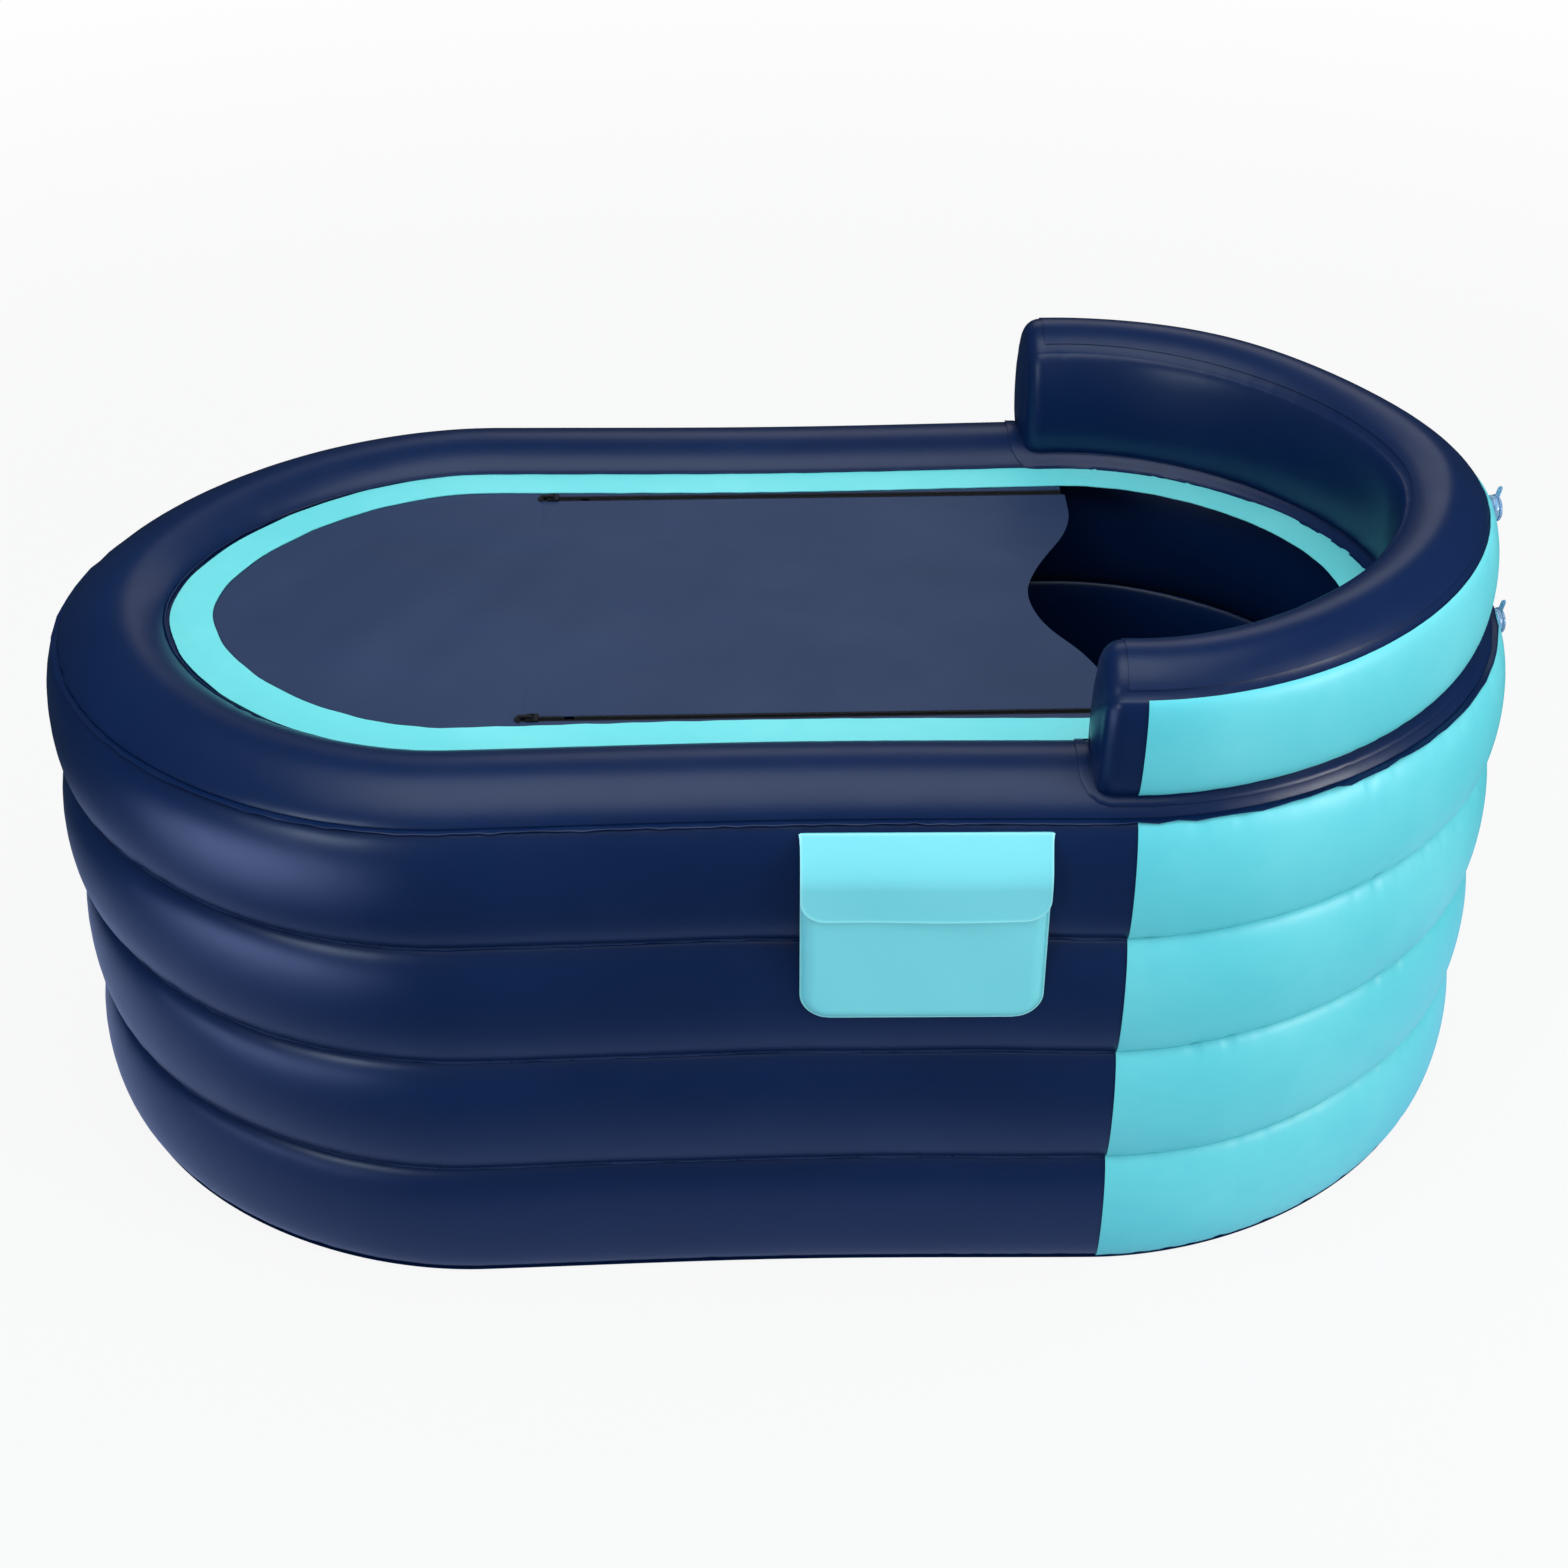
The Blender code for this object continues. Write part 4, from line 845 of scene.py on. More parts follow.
outline = plan_at(np.linspace(0.0, 0.5, 2000), np.full(2000, -cushion_clearance - inner_bulge))[::-1]
reach = outline[:, 0].max() * cushion_reach_share
along = np.sin(np.linspace(-pi / 2, pi / 2, cushion_rows + 2))[1:-1]
width = np.interp(reach * along, outline[:, 0], outline[:, 1])
turn_round = np.arange(cushion_columns) * 2 * pi / cushion_columns
across = np.cos(turn_round)
upper = np.sin(turn_round) >= 0
rounding = np.sqrt(np.multiply.outer(1 - along ** 4, 1 - across ** 4))
channel = np.abs(np.sin((across + 1) / 2 * cushion_channels * pi)) ** 0.5
rise = cushion_crown + cushion_edge / 2 - cushion_channel_depth * (1 - channel)
lower_half = -cushion_edge / 2 * rounding ** 0.3
height = sheet + fit_gap + cushion_edge / 2 + np.where(upper, rise * rounding, lower_half)
places = np.dstack([np.repeat(reach * along[:, None], cushion_columns, 1), -np.multiply.outer(width, across),
                    height])
cushion = open_tube("floor_air_cushion", places)
dress(cushion, "tub", "navy_vinyl", navy_vinyl, "floor_cushion")


# Cover
# A light blue border is welded to the rim's inner edge, and holds a dull blue sheet that keeps the water
# warm. The sheet covers the foot end and runs on as the flap between the zips. The flap folds back on the
# real tub, but this sheet is one piece that stays put. A strip lies outside each zip.

border_width = 0.0375
border_reach = border_width + rim_ledge - 2 * fit_gap
border_lap = 0.008
border_shift = 0.006
shift_from, shift_over = 0.36, 0.22
border_wave = 0.0004
border_sink = 0.0002
border_rows, border_columns = 1000, 8
zip_y = inner_half_width - 0.0550
zip_foot_x = 0.068 - straight_half
zip_head_x = straight_half + 0.002
fold_x = zip_foot_x + 0.044
flap_edge_x = zip_head_x + 0.004
coil_gap, coil_width = 0.0016, 0.0042
coil_reach = coil_gap / 2 + coil_width
slot_y = zip_y - coil_reach - fit_gap
strip_y = zip_y + coil_reach + fit_gap
scoop_depth = 0.066
scoop_half = slot_y - 0.034
fold_roll = 0.010
flap_start_x = fold_x - 0.002
cover_sag = 0.0030
held_edge, held_edge_reach, held_side_reach = 0.008, 0.12, 0.10
slack_x, slack_y = 0.0001, 0.00001
panel_top = rim_height - fit_gap
merge_reach = 0.00001
border_colour = (0.135, 0.650, 0.670, 1.0)
border_worn = (0.200, 0.720, 0.730, 1.0)
cover_colour = (0.020, 0.038, 0.092, 1.0)
cover_worn = (0.027, 0.046, 0.108, 1.0)

turns = np.arange(border_rows) / border_rows
inwards = border_shift * np.clip((-plan_x(turns)[:, None] - shift_from) / shift_over, 0.0, 1.0)
offset = np.linspace(-border_width, border_reach - border_width, border_columns)
offset = offset + border_wave * ripple(turns, 30, 80, 132)[:, None] - inwards
flat = plan_at(np.repeat(turns[:, None], border_columns, 1), offset)
arch = np.sin(np.linspace(0, pi, border_columns))
wave = border_wave * (1 + np.outer(ripple(turns, 20, 60, 131), arch) / 2)
faces = [np.dstack([flat, height + wave - border_sink])[:, ::-1]
         for height in (rim_height, rim_height + sheet)]
border_vinyl = vinyl("border_vinyl_sheet", border_colour, border_worn, 0.40, shine=0.3)
border = closed_tube("cover_border_sheet", closed_skin(*faces))
dress(border, "tub", "border_vinyl", border_vinyl, "cover_border")
middle_line = plan_at(np.linspace(0, 1, 4000), np.full(4000, border_reach / 2 - border_width))


def thicken(piece, thickness):
    """Give a sheet its thickness and smooth it."""
    solid = piece.modifiers.new("thickness", "SOLIDIFY")
    solid.thickness = thickness
    solid.offset = -1.0
    solid.use_even_offset = False
    bpy.ops.object.modifier_apply(modifier=solid.name)
    bpy.ops.object.shade_smooth_by_angle(angle=radians(40.0))


def cover_sheet(name, places, thickness, drop=None):
    """A sheet from a grid whose corners are moved to their places, without the faces that a test picks."""
    rows, columns = places.shape[:2]
    bpy.ops.mesh.primitive_grid_add(x_subdivisions=rows - 1, y_subdivisions=columns - 1, size=2.0)
    x, y, _ = corners().T
    row = np.rint((x + 1) / 2 * (rows - 1)).astype(int)
    column = np.rint((y + 1) / 2 * (columns - 1)).astype(int)
    piece = bpy.context.object
    piece.name = name
    piece.data.vertices.foreach_set("co", np.ascontiguousarray(places[row, column], np.float32).ravel())
    piece.data.update()
    bpy.ops.object.mode_set(mode="EDIT")
    bpy.ops.mesh.select_mode(type="FACE")
    bpy.ops.mesh.select_all(action="DESELECT")
    bpy.ops.object.mode_set(mode="OBJECT")
    for face in piece.data.polygons:
        face.select = bool(drop and drop(face.center))
    bpy.ops.object.mode_set(mode="EDIT")
    bpy.ops.mesh.delete(type="FACE")
    bpy.ops.mesh.select_mode(type="VERT")
    bpy.ops.mesh.select_all(action="SELECT")
    bpy.ops.mesh.remove_doubles(threshold=merge_reach)
    bpy.ops.object.mode_set(mode="OBJECT")
    thicken(piece, thickness)
    return piece


cover_outline = plan_at(np.linspace(0.0, 0.5, 3000), np.full(3000, border_lap - border_width))[::-1]
foot_tip = -cover_outline[:, 0].max()
slot_foot = zip_foot_x - fit_gap
foot_x = foot_tip + (slot_foot - foot_tip) * np.sin(np.linspace(0.0, pi / 2, 60)) ** 1.6
stations = np.concatenate([foot_x, np.linspace(slot_foot, flap_start_x, 14)[1:]])
half_at = np.interp(stations, cover_outline[:, 0], cover_outline[:, 1])
middle = np.minimum(half_at, slot_y)
spread = np.concatenate([-np.ones(4), np.linspace(-1, 1, 81)[1:-1], np.ones(4)])
wing = np.concatenate([np.linspace(-1, 0, 4), np.zeros(79), np.linspace(0, 1, 4)])
y = np.outer(middle, spread) + np.outer(half_at - middle, wing)
x = np.repeat(stations[:, None], len(spread), 1)
flap_share = np.linspace(0.0, 1.0, 130)[1:]
flap_y = slot_y * spread
near = np.minimum(np.abs(flap_y) / scoop_half, 1.0)
edge = flap_edge_x - scoop_depth * (1 + np.cos(pi * near)) / 2
flap_x = flap_start_x + np.outer(flap_share, edge - flap_start_x)
x = np.concatenate([x, flap_x])
y = np.concatenate([y, np.repeat(flap_y[None], len(flap_share), 0)])


def cover_height(x, y):
    """The cover's sag and slight waves, none where it is welded or sewn."""
    half = np.interp(x, cover_outline[:, 0], cover_outline[:, 1])
    edge = np.clip((half - np.abs(y) - held_edge) / held_edge_reach, 0, 1)
    side = np.clip((slot_y - np.abs(y)) / held_side_reach, 0, 1)
    held = smooth(np.minimum(edge, np.where(x > slot_foot, side, 1.0)))
    waves = (0.0009 * np.sin(31 * x + 9 * y + 1.0) * np.sin(24 * y - 7 * x + 0.4)
             + 0.0006 * np.sin(57 * x - 33 * y + 2.0) + 0.0005 * np.sin(18 * x + 64 * y))
    return panel_top - held * (cover_sag + waves)


cover_vinyl = vinyl("cover_vinyl_sheet", cover_colour, cover_worn, 0.52, shine=0.2, wave=0.0004)
cover = cover_sheet("cover_sheet", np.dstack([x, y, cover_height(x, y)]), sheet,
                    lambda face: face.x > slot_foot + slack_x and abs(face.y) > slot_y - slack_y)
dress(cover, "tub", "cover_vinyl", cover_vinyl, "cover_foot_panel", "cover_flap")
cover.parent = None
fold_x - fold_roll
fold_x + fold_roll
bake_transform(cover)
round(flap_edge_x - foot_tip, 3)

for label, side in (("rear", 1), ("front", -1)):
    stations = np.linspace(slot_foot, zip_head_x, 90)
    outer = np.interp(stations, cover_outline[:, 0], cover_outline[:, 1])
    y = side * (strip_y + np.outer(outer - strip_y, np.linspace(0, 1, 6)))
    x = np.repeat(stations[:, None], 6, 1)
    strip = cover_sheet(f"cover_strip_{label}", np.dstack([x, y, np.full(x.shape, panel_top)]), sheet)
    dress(strip, "tub", "cover_vinyl", cover_vinyl)
    round(float((outer - strip_y).mean()), 4)
    round(zip_head_x - slot_foot, 3)


# Zips
# A black coil zip runs along each side of the flap. Its two halves of ribbed coil stand in the slot between
# the sheets, on tape that is welded below them. A flat patch closes the foot end, where the slider is parked.

tape_top = panel_top - sheet - fit_gap
tape_width = 0.0120
tape_reach = coil_gap / 2 + tape_width
coil_top = tape_top + 0.0028
coil_near, coil_far = 0.0009, 0.0050
coil_valley = 0.0009
coil_round = 0.0011
coil_pitch = 0.0024
rib_shares = (0.0, 0.16, 0.52, 0.68)
rib_crests = (0.0, 1.0, 1.0, 0.0)
fold_clearance = 0.010
patch_length, patch_width, patch_rise = 0.0064, 0.0122, 0.0013
tongue_columns = 16
zip_black = (0.0030, 0.0034, 0.0045, 1.0)
zip_grey = (0.0080, 0.0090, 0.0120, 1.0)

zip_finish = Finish("zip_black_plastic")
place = zip_finish.place()
weave = zip_finish.noise(place, 900.0, 2.0)
zip_plastic = zip_finish.set(Base_Color=zip_finish.mix(weave, zip_black, zip_grey),
                             Roughness=0.42 + 0.16 * zip_finish.noise(place, 260.0, 2.0),
                             Normal=zip_finish.bump(weave, 0.00008), Specular_IOR_Level=0.25)


def zip_half(name, side, centre, start, end):
    """One half of a zip: tape with a ribbed coil along its edge, on one side of the zip's centre line."""
    count = int((end - start) / coil_pitch)
    along = start + (np.arange(count)[:, None] + np.array(rib_shares)).ravel() * (end - start) / count
    along = np.concatenate([along, [end]])
    valley = coil_valley * (1 - np.concatenate([np.resize(rib_crests, len(along) - 1), [0.0]]))
    near, top = coil_near + valley, coil_top - valley
    low = tape_top - sheet
    section = [(near, low), ((near + tape_reach) / 2, low), (tape_reach, low), (tape_reach, tape_top),
               (coil_far, tape_top), (coil_far, top - coil_round), (coil_far - coil_round, top),
               (near + coil_round, top), (near, top - coil_round)]
    places = np.stack([np.stack([along, centre + side * across + 0 * along, height + 0 * along], 1)
                       for across, height in section], 1)
    return open_tube(name, places)


def tongue(name, start, end, width, low, high, place=Matrix(), curl=0.0, round_start=True, round_end=True):
    """A flat bar along X with round or square ends, which may curl upwards towards its start."""
    reach = width / 2
    bend = reach * (1 - np.cos(np.linspace(0.12, pi / 2, 9)))
    square = np.array([0.0, 0.0001])
    first, last = bend if round_start else square, bend if round_end else square
    x = np.concatenate([start + first, (end - last)[::-1]])
    half = np.full(len(x), reach)
    for distance, is_round in ((x - start, round_start), (end - x, round_end)):
        if is_round:
            half = np.minimum(half, np.sqrt(reach ** 2 - np.clip(reach - distance, 0.0, reach) ** 2))
    angle = np.arange(tongue_columns) * 2 * pi / tongue_columns
    side = np.sign(np.cos(angle)) * np.abs(np.cos(angle)) ** 0.35
    level = np.sign(np.sin(angle)) * np.abs(np.sin(angle)) ** 0.55
    rise = curl * np.clip((end - x) / (end - start), 0, 1) ** 2
    height = (low + high) / 2 + (high - low) / 2 * level + rise[:, None]
    local = np.dstack([np.repeat(x[:, None], tongue_columns, 1), np.outer(half, side), height])
    return open_tube(name, placed(local, place))


for label, side in (("rear", 1), ("front", -1)):
    centre = side * zip_y
    for kind, hand, start, end, body in (
            ("fixed_half", side, zip_foot_x, zip_head_x, "tub"),
            ("foot_half", -side, zip_foot_x, fold_x - fit_gap, "tub"),
            ("flap_half", -side, fold_x + fold_clearance, zip_head_x, "cover_flap")):
        half = zip_half(f"zip_{label}_{kind}_coil", hand, centre, start, end)
        dress(half, body, "zip_plastic", zip_plastic, f"zip_{label}_{kind}")
    patch = tongue(f"zip_{label}_end_patch", slot_foot - patch_length, slot_foot - fit_gap, patch_width,
                   panel_top + fit_gap, panel_top + patch_rise, Matrix.Translation((0.0, centre, 0.0)),
                   round_end=False)
    dress(patch, "tub", "zip_plastic", zip_plastic)
    for kind in ("slider", "pull_tab"):
        node = frame["nodes"][f"zip_{label}_{kind}"]
        node.data.materials.clear()
        node.data.materials.append(zip_plastic)
        node.data.materials.append(zip_plastic)


# Pocket
# A flat bag of light blue sheet is welded on a backing sheet round its sides and foot. Its flap is welded
# along the top, swells out over the mouth and is held by a pair of hook and loop pads.

pocket_width, pocket_height = 0.244, 0.218
pocket_top = rim_seam_height - 0.008
pocket_seat = 0.001
pocket_corner = 0.031
pocket_depth = 0.0085
pocket_weld = 0.0030
pocket_edge_round = 0.0125
pocket_mouth_drop = 0.030
mouth_share, mouth_slack_reach = 0.35, 0.050
flap_height = 0.096
flap_corner = 0.026
flap_swell = 0.050
flap_stand = 0.0022
flap_ear, ear_reach = 0.0016, 0.006
sheet_wave = 0.0005
pad_width, pad_height, pad_level, pad_gap = 0.040, 0.012, 0.512, 0.0006
edge_bead = 0.0005
edge_reach = 0.0022
pocket_rows, pocket_columns = 90, 110
pocket_colour = (0.200, 0.660, 0.720, 1.0)
# A lighter blue along the pocket sheets' edges, as a painted highlight where the edges catch the light.
pocket_edge_highlight = (0.340, 0.760, 0.800, 1.0)

finish = Finish("pocket_vinyl_sheet")
place = finish.place()
worn = finish.noise(place, 9.0, 3.0)
# The edge attribute mixes that lighter blue in along the sheet's edges, as a painted highlight.
edge = finish.node("ShaderNodeAttribute", {"attribute_name": "edge"}, output=2)
tint = finish.mix(worn * 0.6, pocket_colour, aqua_worn)
waves = finish.bump(finish.noise(place, 26.0, 2.0), 0.0006)
pocket_vinyl = finish.set(Base_Color=finish.mix(edge, tint, pocket_edge_highlight),
                          Roughness=0.36 + 0.08 * finish.noise(place, 40.0, 2.0),
                          Normal=finish.bump(finish.noise(place, 1200.0, 2.0), 0.00002, waves),
                          Specular_IOR_Level=0.35)


def wall_half_width(x):
    """The rim's inner edge at x, as a distance from the middle line."""
    half = plan_points[:plan_count // 2]
    return np.interp(-x, -half[:, 0], half[:, 1])


half_pocket = pocket_width / 2
lean = wall_half_width(pocket_x - half_pocket) - wall_half_width(pocket_x + half_pocket)
along = Vector((pocket_width, lean, 0.0)).normalized()
pocket_place = Matrix((along, (-along.y, along.x, 0.0), (0.0, 0.0, 1.0))).transposed().to_4x4()
pocket_place.translation = (pocket_x, -wall_half_width(pocket_x), 0.0)


def wall_line(distance):
    """The line of (offset, height) down the wall under the pocket, from its top."""
    low, high = ring_levels(ring_count - 1)
    side = ring_lines(ring_count - 1)[0][0]
    height = np.linspace(pocket_top, pocket_top - pocket_height, 240)
    apex = (low + high) / 2
    share = smooth((pocket_top - height) / (pocket_top - apex))
    leaving = lerp(np.interp(height, side[:, 1], side[:, 0]), wall_offset, share)
    return np.stack([np.where(height > apex, leaving, wall_offset) + distance, height], 1)


def edge_distance(across, down, end, corner):
    """How far a point of a hanging sheet lies from its sides and its round foot."""
    side = np.abs(across) - (half_pocket - corner)
    foot = down - (end - corner)
    straight = np.minimum(half_pocket - np.abs(across), end - down)
    return np.maximum(np.where((side > 0) & (foot > 0), corner - np.hypot(side, foot), straight), 0.0)


def hanging(name, line, start, end, corner, lift, ear=0.0):
    """A sheet that hangs along a line, with round lower corners, a bead of weld along its edges and a painted
    highlight on them.
    """
    run = runs(line)
    quarter = np.sin(np.linspace(0.0, pi / 2, pocket_rows))
    down = lerp(start, end, (quarter + np.linspace(0.0, 1.0, pocket_rows)) / 2)
    bend = np.clip(down - (end - corner), 0.0, corner)
    half = half_pocket - corner + np.sqrt(np.clip(corner ** 2 - bend ** 2, 0.0, None))
    half = half + ear * np.exp(-(down - start) / ear_reach)
    sine = np.sin(np.linspace(-pi / 2, pi / 2, pocket_columns))
    across = np.outer(half, sine * 0.6 + np.linspace(-1, 1, pocket_columns) * 0.4)
    down = np.repeat(down[:, None], pocket_columns, 1)
    near = edge_distance(across, down, end, corner)
    bead = edge_bead * np.exp(-(near / edge_reach) ** 2)
    offset = np.interp(down, run, line[:, 0]) + lift(across, down, near) + bead
    height = np.interp(down, run, line[:, 1])
    piece = cover_sheet(name, placed(np.dstack([across, -offset, height]), pocket_place), sheet)
    away = np.array([vertex.co for vertex in piece.data.vertices]) - np.array(pocket_place.translation)
    top, foot = np.interp((start, end), run, line[:, 1])
    near = edge_distance(away @ np.array(pocket_place.to_3x3())[:, 0], -away[:, 2], -foot, corner)
    if ear:
        near = np.minimum(near, top - away[:, 2])
    # The edge attribute runs from 1 at the sheet's edges to 0 a couple of millimetres in, and marks where the
    # material paints the edge highlight.
    edge_highlight_share = piece.data.attributes.new("edge", "FLOAT", "POINT")
    edge_highlight_share.data.foreach_set("value", np.clip(1 - near / edge_reach, 0.0, 1.0).astype(np.float32))
    return piece


def belly(across, down, near):
    """How far the bag stands off its backing sheet."""
    backing = np.interp(pocket_top - down, bag_line[::-1, 1], bag_line[::-1, 0] - layer - pocket_seat)
    rise = np.clip((near - pocket_weld) / pocket_edge_round, 0.0, 1.0)
    slack = lerp(mouth_share, 1.0, smooth((down - pocket_mouth_drop) / mouth_slack_reach))
    full = (pocket_depth + np.maximum(wall_offset - backing, 0.0)) * slack * np.sqrt(1 - (1 - rise) ** 2)
    return full + sheet_wave * rise * np.sin(60 * across + 14 * down) * np.sin(48 * down + 1.0)


def drape(across, down, near):
    """Slight waves in the flap."""
    return sheet_wave * (1 - np.cos(np.clip(down / flap_height, 0, 1) * pi)) * np.sin(34 * across + 0.7)


layer = sheet + fit_gap
back_line, bag_line = wall_line(pocket_seat), wall_line(pocket_seat + layer)
back_length, bag_length = runs(back_line)[-1], runs(bag_line)[-1]
back = hanging("pocket_backing", back_line, 0.0, back_length, pocket_corner,
               lambda across, down, near: 0 * near)
dress(back, "tub", "aqua_vinyl", pocket_vinyl, "pocket_back")
bag = hanging("pocket_bag_sheet", bag_line, pocket_mouth_drop, bag_length, pocket_corner, belly)
dress(bag, "tub", "aqua_vinyl", pocket_vinyl, "pocket_bag")

flap_offset = bag_line[-1, 0] + pocket_depth + layer + flap_stand
share = np.linspace(0.0, 1.0, 40)
flap_line = np.stack([lerp(bag_line[0, 0], flap_offset, np.sin(pi / 2 * share)),
                      pocket_top - flap_swell * share], 1)
flap_line = np.concatenate([flap_line, [(flap_offset, pocket_top - pocket_height)]])
flap = hanging("pocket_flap_sheet", flap_line, 0.0, flap_height, flap_corner, drape, flap_ear)
dress(flap, "pocket_flap", "aqua_vinyl", pocket_vinyl, "pocket_flap")

pad_finish = Finish("hook_and_loop_pad")
loops = pad_finish.noise(pad_finish.place(), 2200.0, 3.0)
pad_black = pad_finish.set(Base_Color=pad_finish.mix(loops, zip_black, zip_grey),
                           Roughness=0.8 + 0.15 * loops, Normal=pad_finish.bump(loops, 0.0005))
facing = Matrix(((1, 0, 0), (0, 0, -1), (0, 1, 0))).to_4x4()
pad_place = pocket_place @ Matrix.Translation((0.0, 0.0, pad_level)) @ facing
pad_line = np.interp(pad_level, bag_line[::-1, 1], bag_line[::-1, 0])
pad_drop = np.array([[pocket_top - pad_level]])
bag_front = pad_line + float(belly(np.zeros((1, 1)), pad_drop, np.full((1, 1), 1.0))[0, 0])
flap_back = float(np.interp(pad_level, flap_line[::-1, 1], flap_line[::-1, 0])) - sheet
pad_split = (bag_front + flap_back) / 2
for name, body, low, high in (
        ("pocket_loop_pad", "tub", bag_front + pad_gap, pad_split - fit_gap),
        ("pocket_hook_pad", "pocket_flap", pad_split, flap_back - pad_gap)):
    pad = tongue(name + "_body", -pad_width / 2, pad_width / 2, pad_height, low, high, pad_place)
    dress(pad, body, "zip_plastic", pad_black, name)


# Air valves
# Each chamber has a valve of clear pale blue soft PVC, welded on by its flange. A ringed neck ends in a rim
# with a bore, and a plug cap closes it, on a short strap and with a pull tab on the other side.

valve_columns = 48
valve_stem = [(0.0065, 0.0140), (0.0065, 0.0294), (0.0071, 0.0300), (0.0138, 0.0300), (0.0145, 0.0293),
              (0.0145, 0.0247), (0.0138, 0.0240), (0.0121, 0.0238), (0.0118, 0.0228), (0.0118, 0.0215),
              (0.0126, 0.0209), (0.0128, 0.0200), (0.0126, 0.0192), (0.0118, 0.0186), (0.0118, 0.0162),
              (0.0122, 0.0153), (0.0152, 0.0150), (0.0160, 0.0144), (0.0162, 0.0128), (0.0157, 0.0120),
              (0.0158, 0.0108), (0.0166, 0.0102), (0.0169, 0.0060), (0.0172, 0.0028), (0.0181, 0.0014),
              (0.0196, 0.0010), (0.0207, 0.0008), (0.0210, 0.0004), (0.0206, 0.0001), (0.0120, 0.0)]
valve_cap = [(0.0060, 0.0022), (0.0105, 0.0022), (0.0122, 0.0028), (0.0138, 0.0030), (0.0147, 0.0027),
             (0.0150, 0.0020), (0.0150, 0.0008), (0.0146, 0.0001), (0.0080, 0.0), (0.0060, -0.0003),
             (0.0058, -0.0012), (0.0056, -0.0040), (0.0050, -0.0045), (0.0020, -0.0045)]
valve_neck, valve_lid, valve_collar = 0.0118, 0.0150, 0.0060
valve_tab = (0.0110, 0.0090)
strap_width, strap_thickness, strap_low = 0.0060, 0.0012, 0.0001
lug_share, lug_drop = 0.7, 0.0002
neck_lap, lid_lap = 0.001, 0.003
valve_blue = (0.520, 0.760, 0.980, 1.0)
valve_deep = (0.200, 0.450, 0.860, 1.0)

finish = Finish("clear_valve_vinyl")
place = finish.place()
cloud = finish.step(finish.noise(place, 160.0, 2.0), 0.35, 0.7)
rough = finish.bump(finish.noise(place, 300.0, 2.0), 0.00008)
clear_vinyl = finish.set(Base_Color=finish.mix(cloud * 0.4, valve_blue, valve_deep),
                         Roughness=0.10 + 0.10 * finish.noise(place, 90.0, 2.0), Normal=rough,
                         Transmission_Weight=0.60, IOR=1.45, Coat_Weight=0.5)


def turned(name, profile, place, columns=valve_columns):
    """A turned piece, from a profile of (radius, height) down its outer side."""
    angle = np.arange(columns) * 2 * pi / columns
    radius, height = np.array(profile).T
    local = np.dstack([np.outer(radius, np.cos(angle)), np.outer(radius, np.sin(angle)),
                       np.repeat(height[:, None], columns, 1)])
    return open_tube(name, placed(local, place))


def join(name, *pieces):
    """Join pieces into the first one."""
    bpy.ops.object.select_all(action="DESELECT")
    for piece in pieces:
        piece.select_set(True)
    bpy.context.view_layer.objects.active = pieces[0]
    bpy.ops.object.join()
    pieces[0].name = pieces[0].data.name = name
    return pieces[0]


def capped(name, place, stem, cap, reach, top, neck, lid, collar, tab):
    """A stem with its lug, and a cap with its strap and its pull tab."""
    lug = tongue(name + "_lug", neck - neck_lap, reach, strap_width, top - lug_share * collar, top - lug_drop,
                 place, round_start=False)
    stem_piece = join(name + "_stem_body", turned(name + "_stem_body", stem, place), lug)
    dress(stem_piece, "tub", "valve_vinyl", clear_vinyl, name + "_stem")
    lid_place = place @ Matrix.Translation((0.0, 0.0, top + fit_gap))
    strap = tongue(name + "_strap", lid - lid_lap, reach, strap_width, strap_low, strap_thickness, lid_place,
                   round_start=False)
    pull = tongue(name + "_tab", -lid - tab[0], lid_lap - lid, tab[1], strap_low, strap_thickness, lid_place,
                  curl=tab[0] * 0.35, round_end=False)
    cap_piece = join(name + "_cap_body", turned(name + "_cap_body", cap, lid_place), strap, pull)
    dress(cap_piece, name + "_cap", "valve_vinyl", clear_vinyl, name + "_cap")


for label in [f"ring_{index + 1}" for index in range(ring_count)] + ["backrest"]:
    capped(label + "_valve", valve_place(label), valve_stem, valve_cap, valve_reach, valve_top,
           valve_neck, valve_lid, valve_collar, valve_tab)


# Cushion valve
# The floor cushion's valve is a low one, pressed flat when it is full, with its strap towards the foot.
# It is made as the side valves are.

low_stem = [(0.0050, 0.0012), (0.0050, 0.0041), (0.0054, 0.0044), (0.0096, 0.0044), (0.0100, 0.0041),
            (0.0100, 0.0034), (0.0097, 0.0030), (0.0091, 0.0030), (0.0090, 0.0028), (0.0090, 0.0024),
            (0.0098, 0.0022), (0.0103, 0.0020), (0.0106, 0.0013), (0.0130, 0.0011), (0.0138, 0.0008),
            (0.0140, 0.0004), (0.0137, 0.0), (0.0080, 0.0)]
low_cap = [(0.0040, 0.0010), (0.0075, 0.0010), (0.0088, 0.0013), (0.0095, 0.0014), (0.0099, 0.0011),
           (0.0100, 0.0006), (0.0097, 0.0), (0.0050, 0.0), (0.0043, -0.0004), (0.0041, -0.0016),
           (0.0020, -0.0018)]
low_reach, low_top = 0.0145, 0.0044
low_neck, low_lid, low_collar = 0.0090, 0.0100, 0.0014
low_tab = (0.0050, 0.0060)
place = joint_place("cushion_valve_cap_open", (-1.0, 0.0, 0.0), low_reach, low_top)
capped("cushion_valve", place, low_stem, low_cap, low_reach, low_top, low_neck, low_lid, low_collar, low_tab)


# Drain
# The drain goes through the lowest ring. Its outlet on the rear side takes a hose and has a cap on a strap,
# and inside the tub a plug with a knob stands in the inlet.

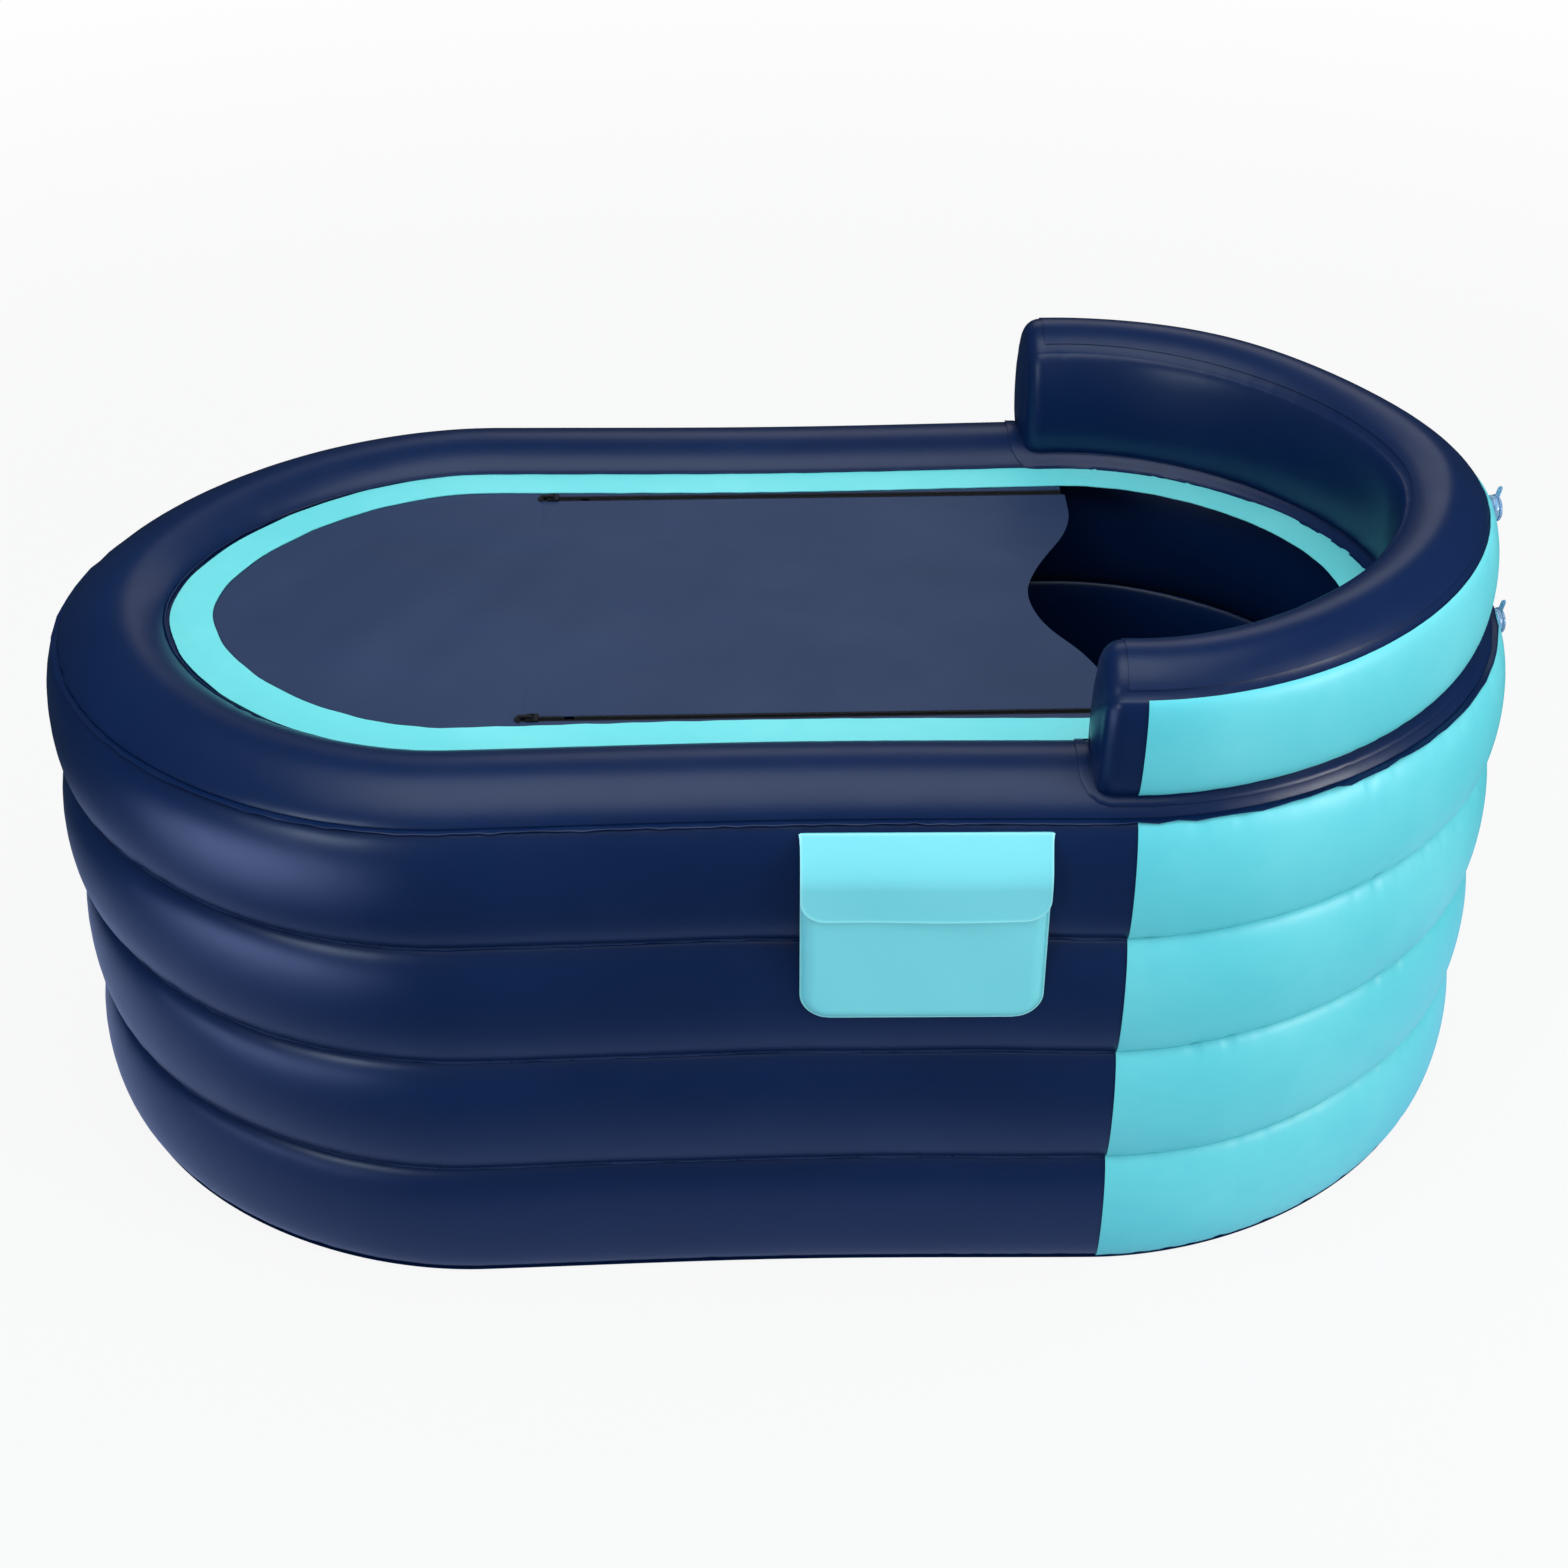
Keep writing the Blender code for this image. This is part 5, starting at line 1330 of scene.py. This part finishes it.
outlet_stem = [(0.0105, 0.0070), (0.0105, 0.0254), (0.0111, 0.0260), (0.0143, 0.0260), (0.0150, 0.0253),
               (0.0150, 0.0227), (0.0145, 0.0220), (0.0137, 0.0219), (0.0135, 0.0212), (0.0135, 0.0190),
               (0.0141, 0.0184), (0.0141, 0.0174), (0.0135, 0.0168), (0.0135, 0.0145), (0.0141, 0.0139),
               (0.0141, 0.0129), (0.0135, 0.0123), (0.0135, 0.0078), (0.0140, 0.0071), (0.0168, 0.0069),
               (0.0177, 0.0062), (0.0180, 0.0030), (0.0186, 0.0016), (0.0200, 0.0010), (0.0254, 0.0009),
               (0.0260, 0.0005), (0.0256, 0.0001), (0.0150, 0.0)]
outlet_cap = [(0.0070, 0.0022), (0.0115, 0.0022), (0.0132, 0.0028), (0.0150, 0.0030), (0.0158, 0.0026),
              (0.0160, 0.0018), (0.0158, 0.0002), (0.0110, 0.0), (0.0098, -0.0004), (0.0096, -0.0052),
              (0.0090, -0.0060), (0.0040, -0.0060)]
outlet_reach, outlet_top = 0.0215, 0.0260
outlet_neck, outlet_lid, outlet_collar = 0.0135, 0.0160, 0.0040
outlet_tab = (0.0080, 0.0090)
place = joint_place("drain_outlet_cap_open", (0.0, 0.0, -1.0), outlet_reach, outlet_top)
capped("drain_outlet", place, outlet_stem, outlet_cap, outlet_reach, outlet_top, outlet_neck, outlet_lid,
       outlet_collar, outlet_tab)

inlet_height = 0.0055
inlet_profile = [(0.0105, 0.0012), (0.0105, 0.0050), (0.0110, 0.0055), (0.0154, 0.0055), (0.0160, 0.0050),
                 (0.0160, 0.0018), (0.0168, 0.0011), (0.0252, 0.0009), (0.0260, 0.0005), (0.0256, 0.0001),
                 (0.0150, 0.0)]
stopper_profile = [(0.0020, 0.0095), (0.0038, 0.0093), (0.0045, 0.0086), (0.0045, 0.0070), (0.0034, 0.0058),
                   (0.0032, 0.0038), (0.0044, 0.0027), (0.0140, 0.0025), (0.0148, 0.0020), (0.0150, 0.0008),
                   (0.0145, 0.0), (0.0105, 0.0), (0.0098, -0.0004), (0.0096, -0.0030), (0.0090, -0.0035),
                   (0.0040, -0.0035)]
inward = Vector(joint_named("drain_stopper_pull")["axis"]).normalized()
side = Vector((0.0, 0.0, 1.0)).cross(inward)
inlet_place = Matrix((side, inward.cross(side), inward)).transposed().to_4x4()
points = np.array([vertex.co for vertex in frame["nodes"]["drain_inlet"].data.vertices])
middle = Vector((points.min(0) + points.max(0)) / 2)
inlet_place.translation = middle + inward * (float((points @ np.array(inward)).min()) - middle.dot(inward))
inlet = turned("drain_inlet_body", inlet_profile, inlet_place)
dress(inlet, "tub", "valve_vinyl", clear_vinyl, "drain_inlet")
plug_place = inlet_place @ Matrix.Translation((0.0, 0.0, inlet_height + fit_gap))
stopper = turned("drain_stopper_body", stopper_profile, plug_place)
dress(stopper, "drain_stopper", "valve_vinyl", clear_vinyl, "drain_stopper")
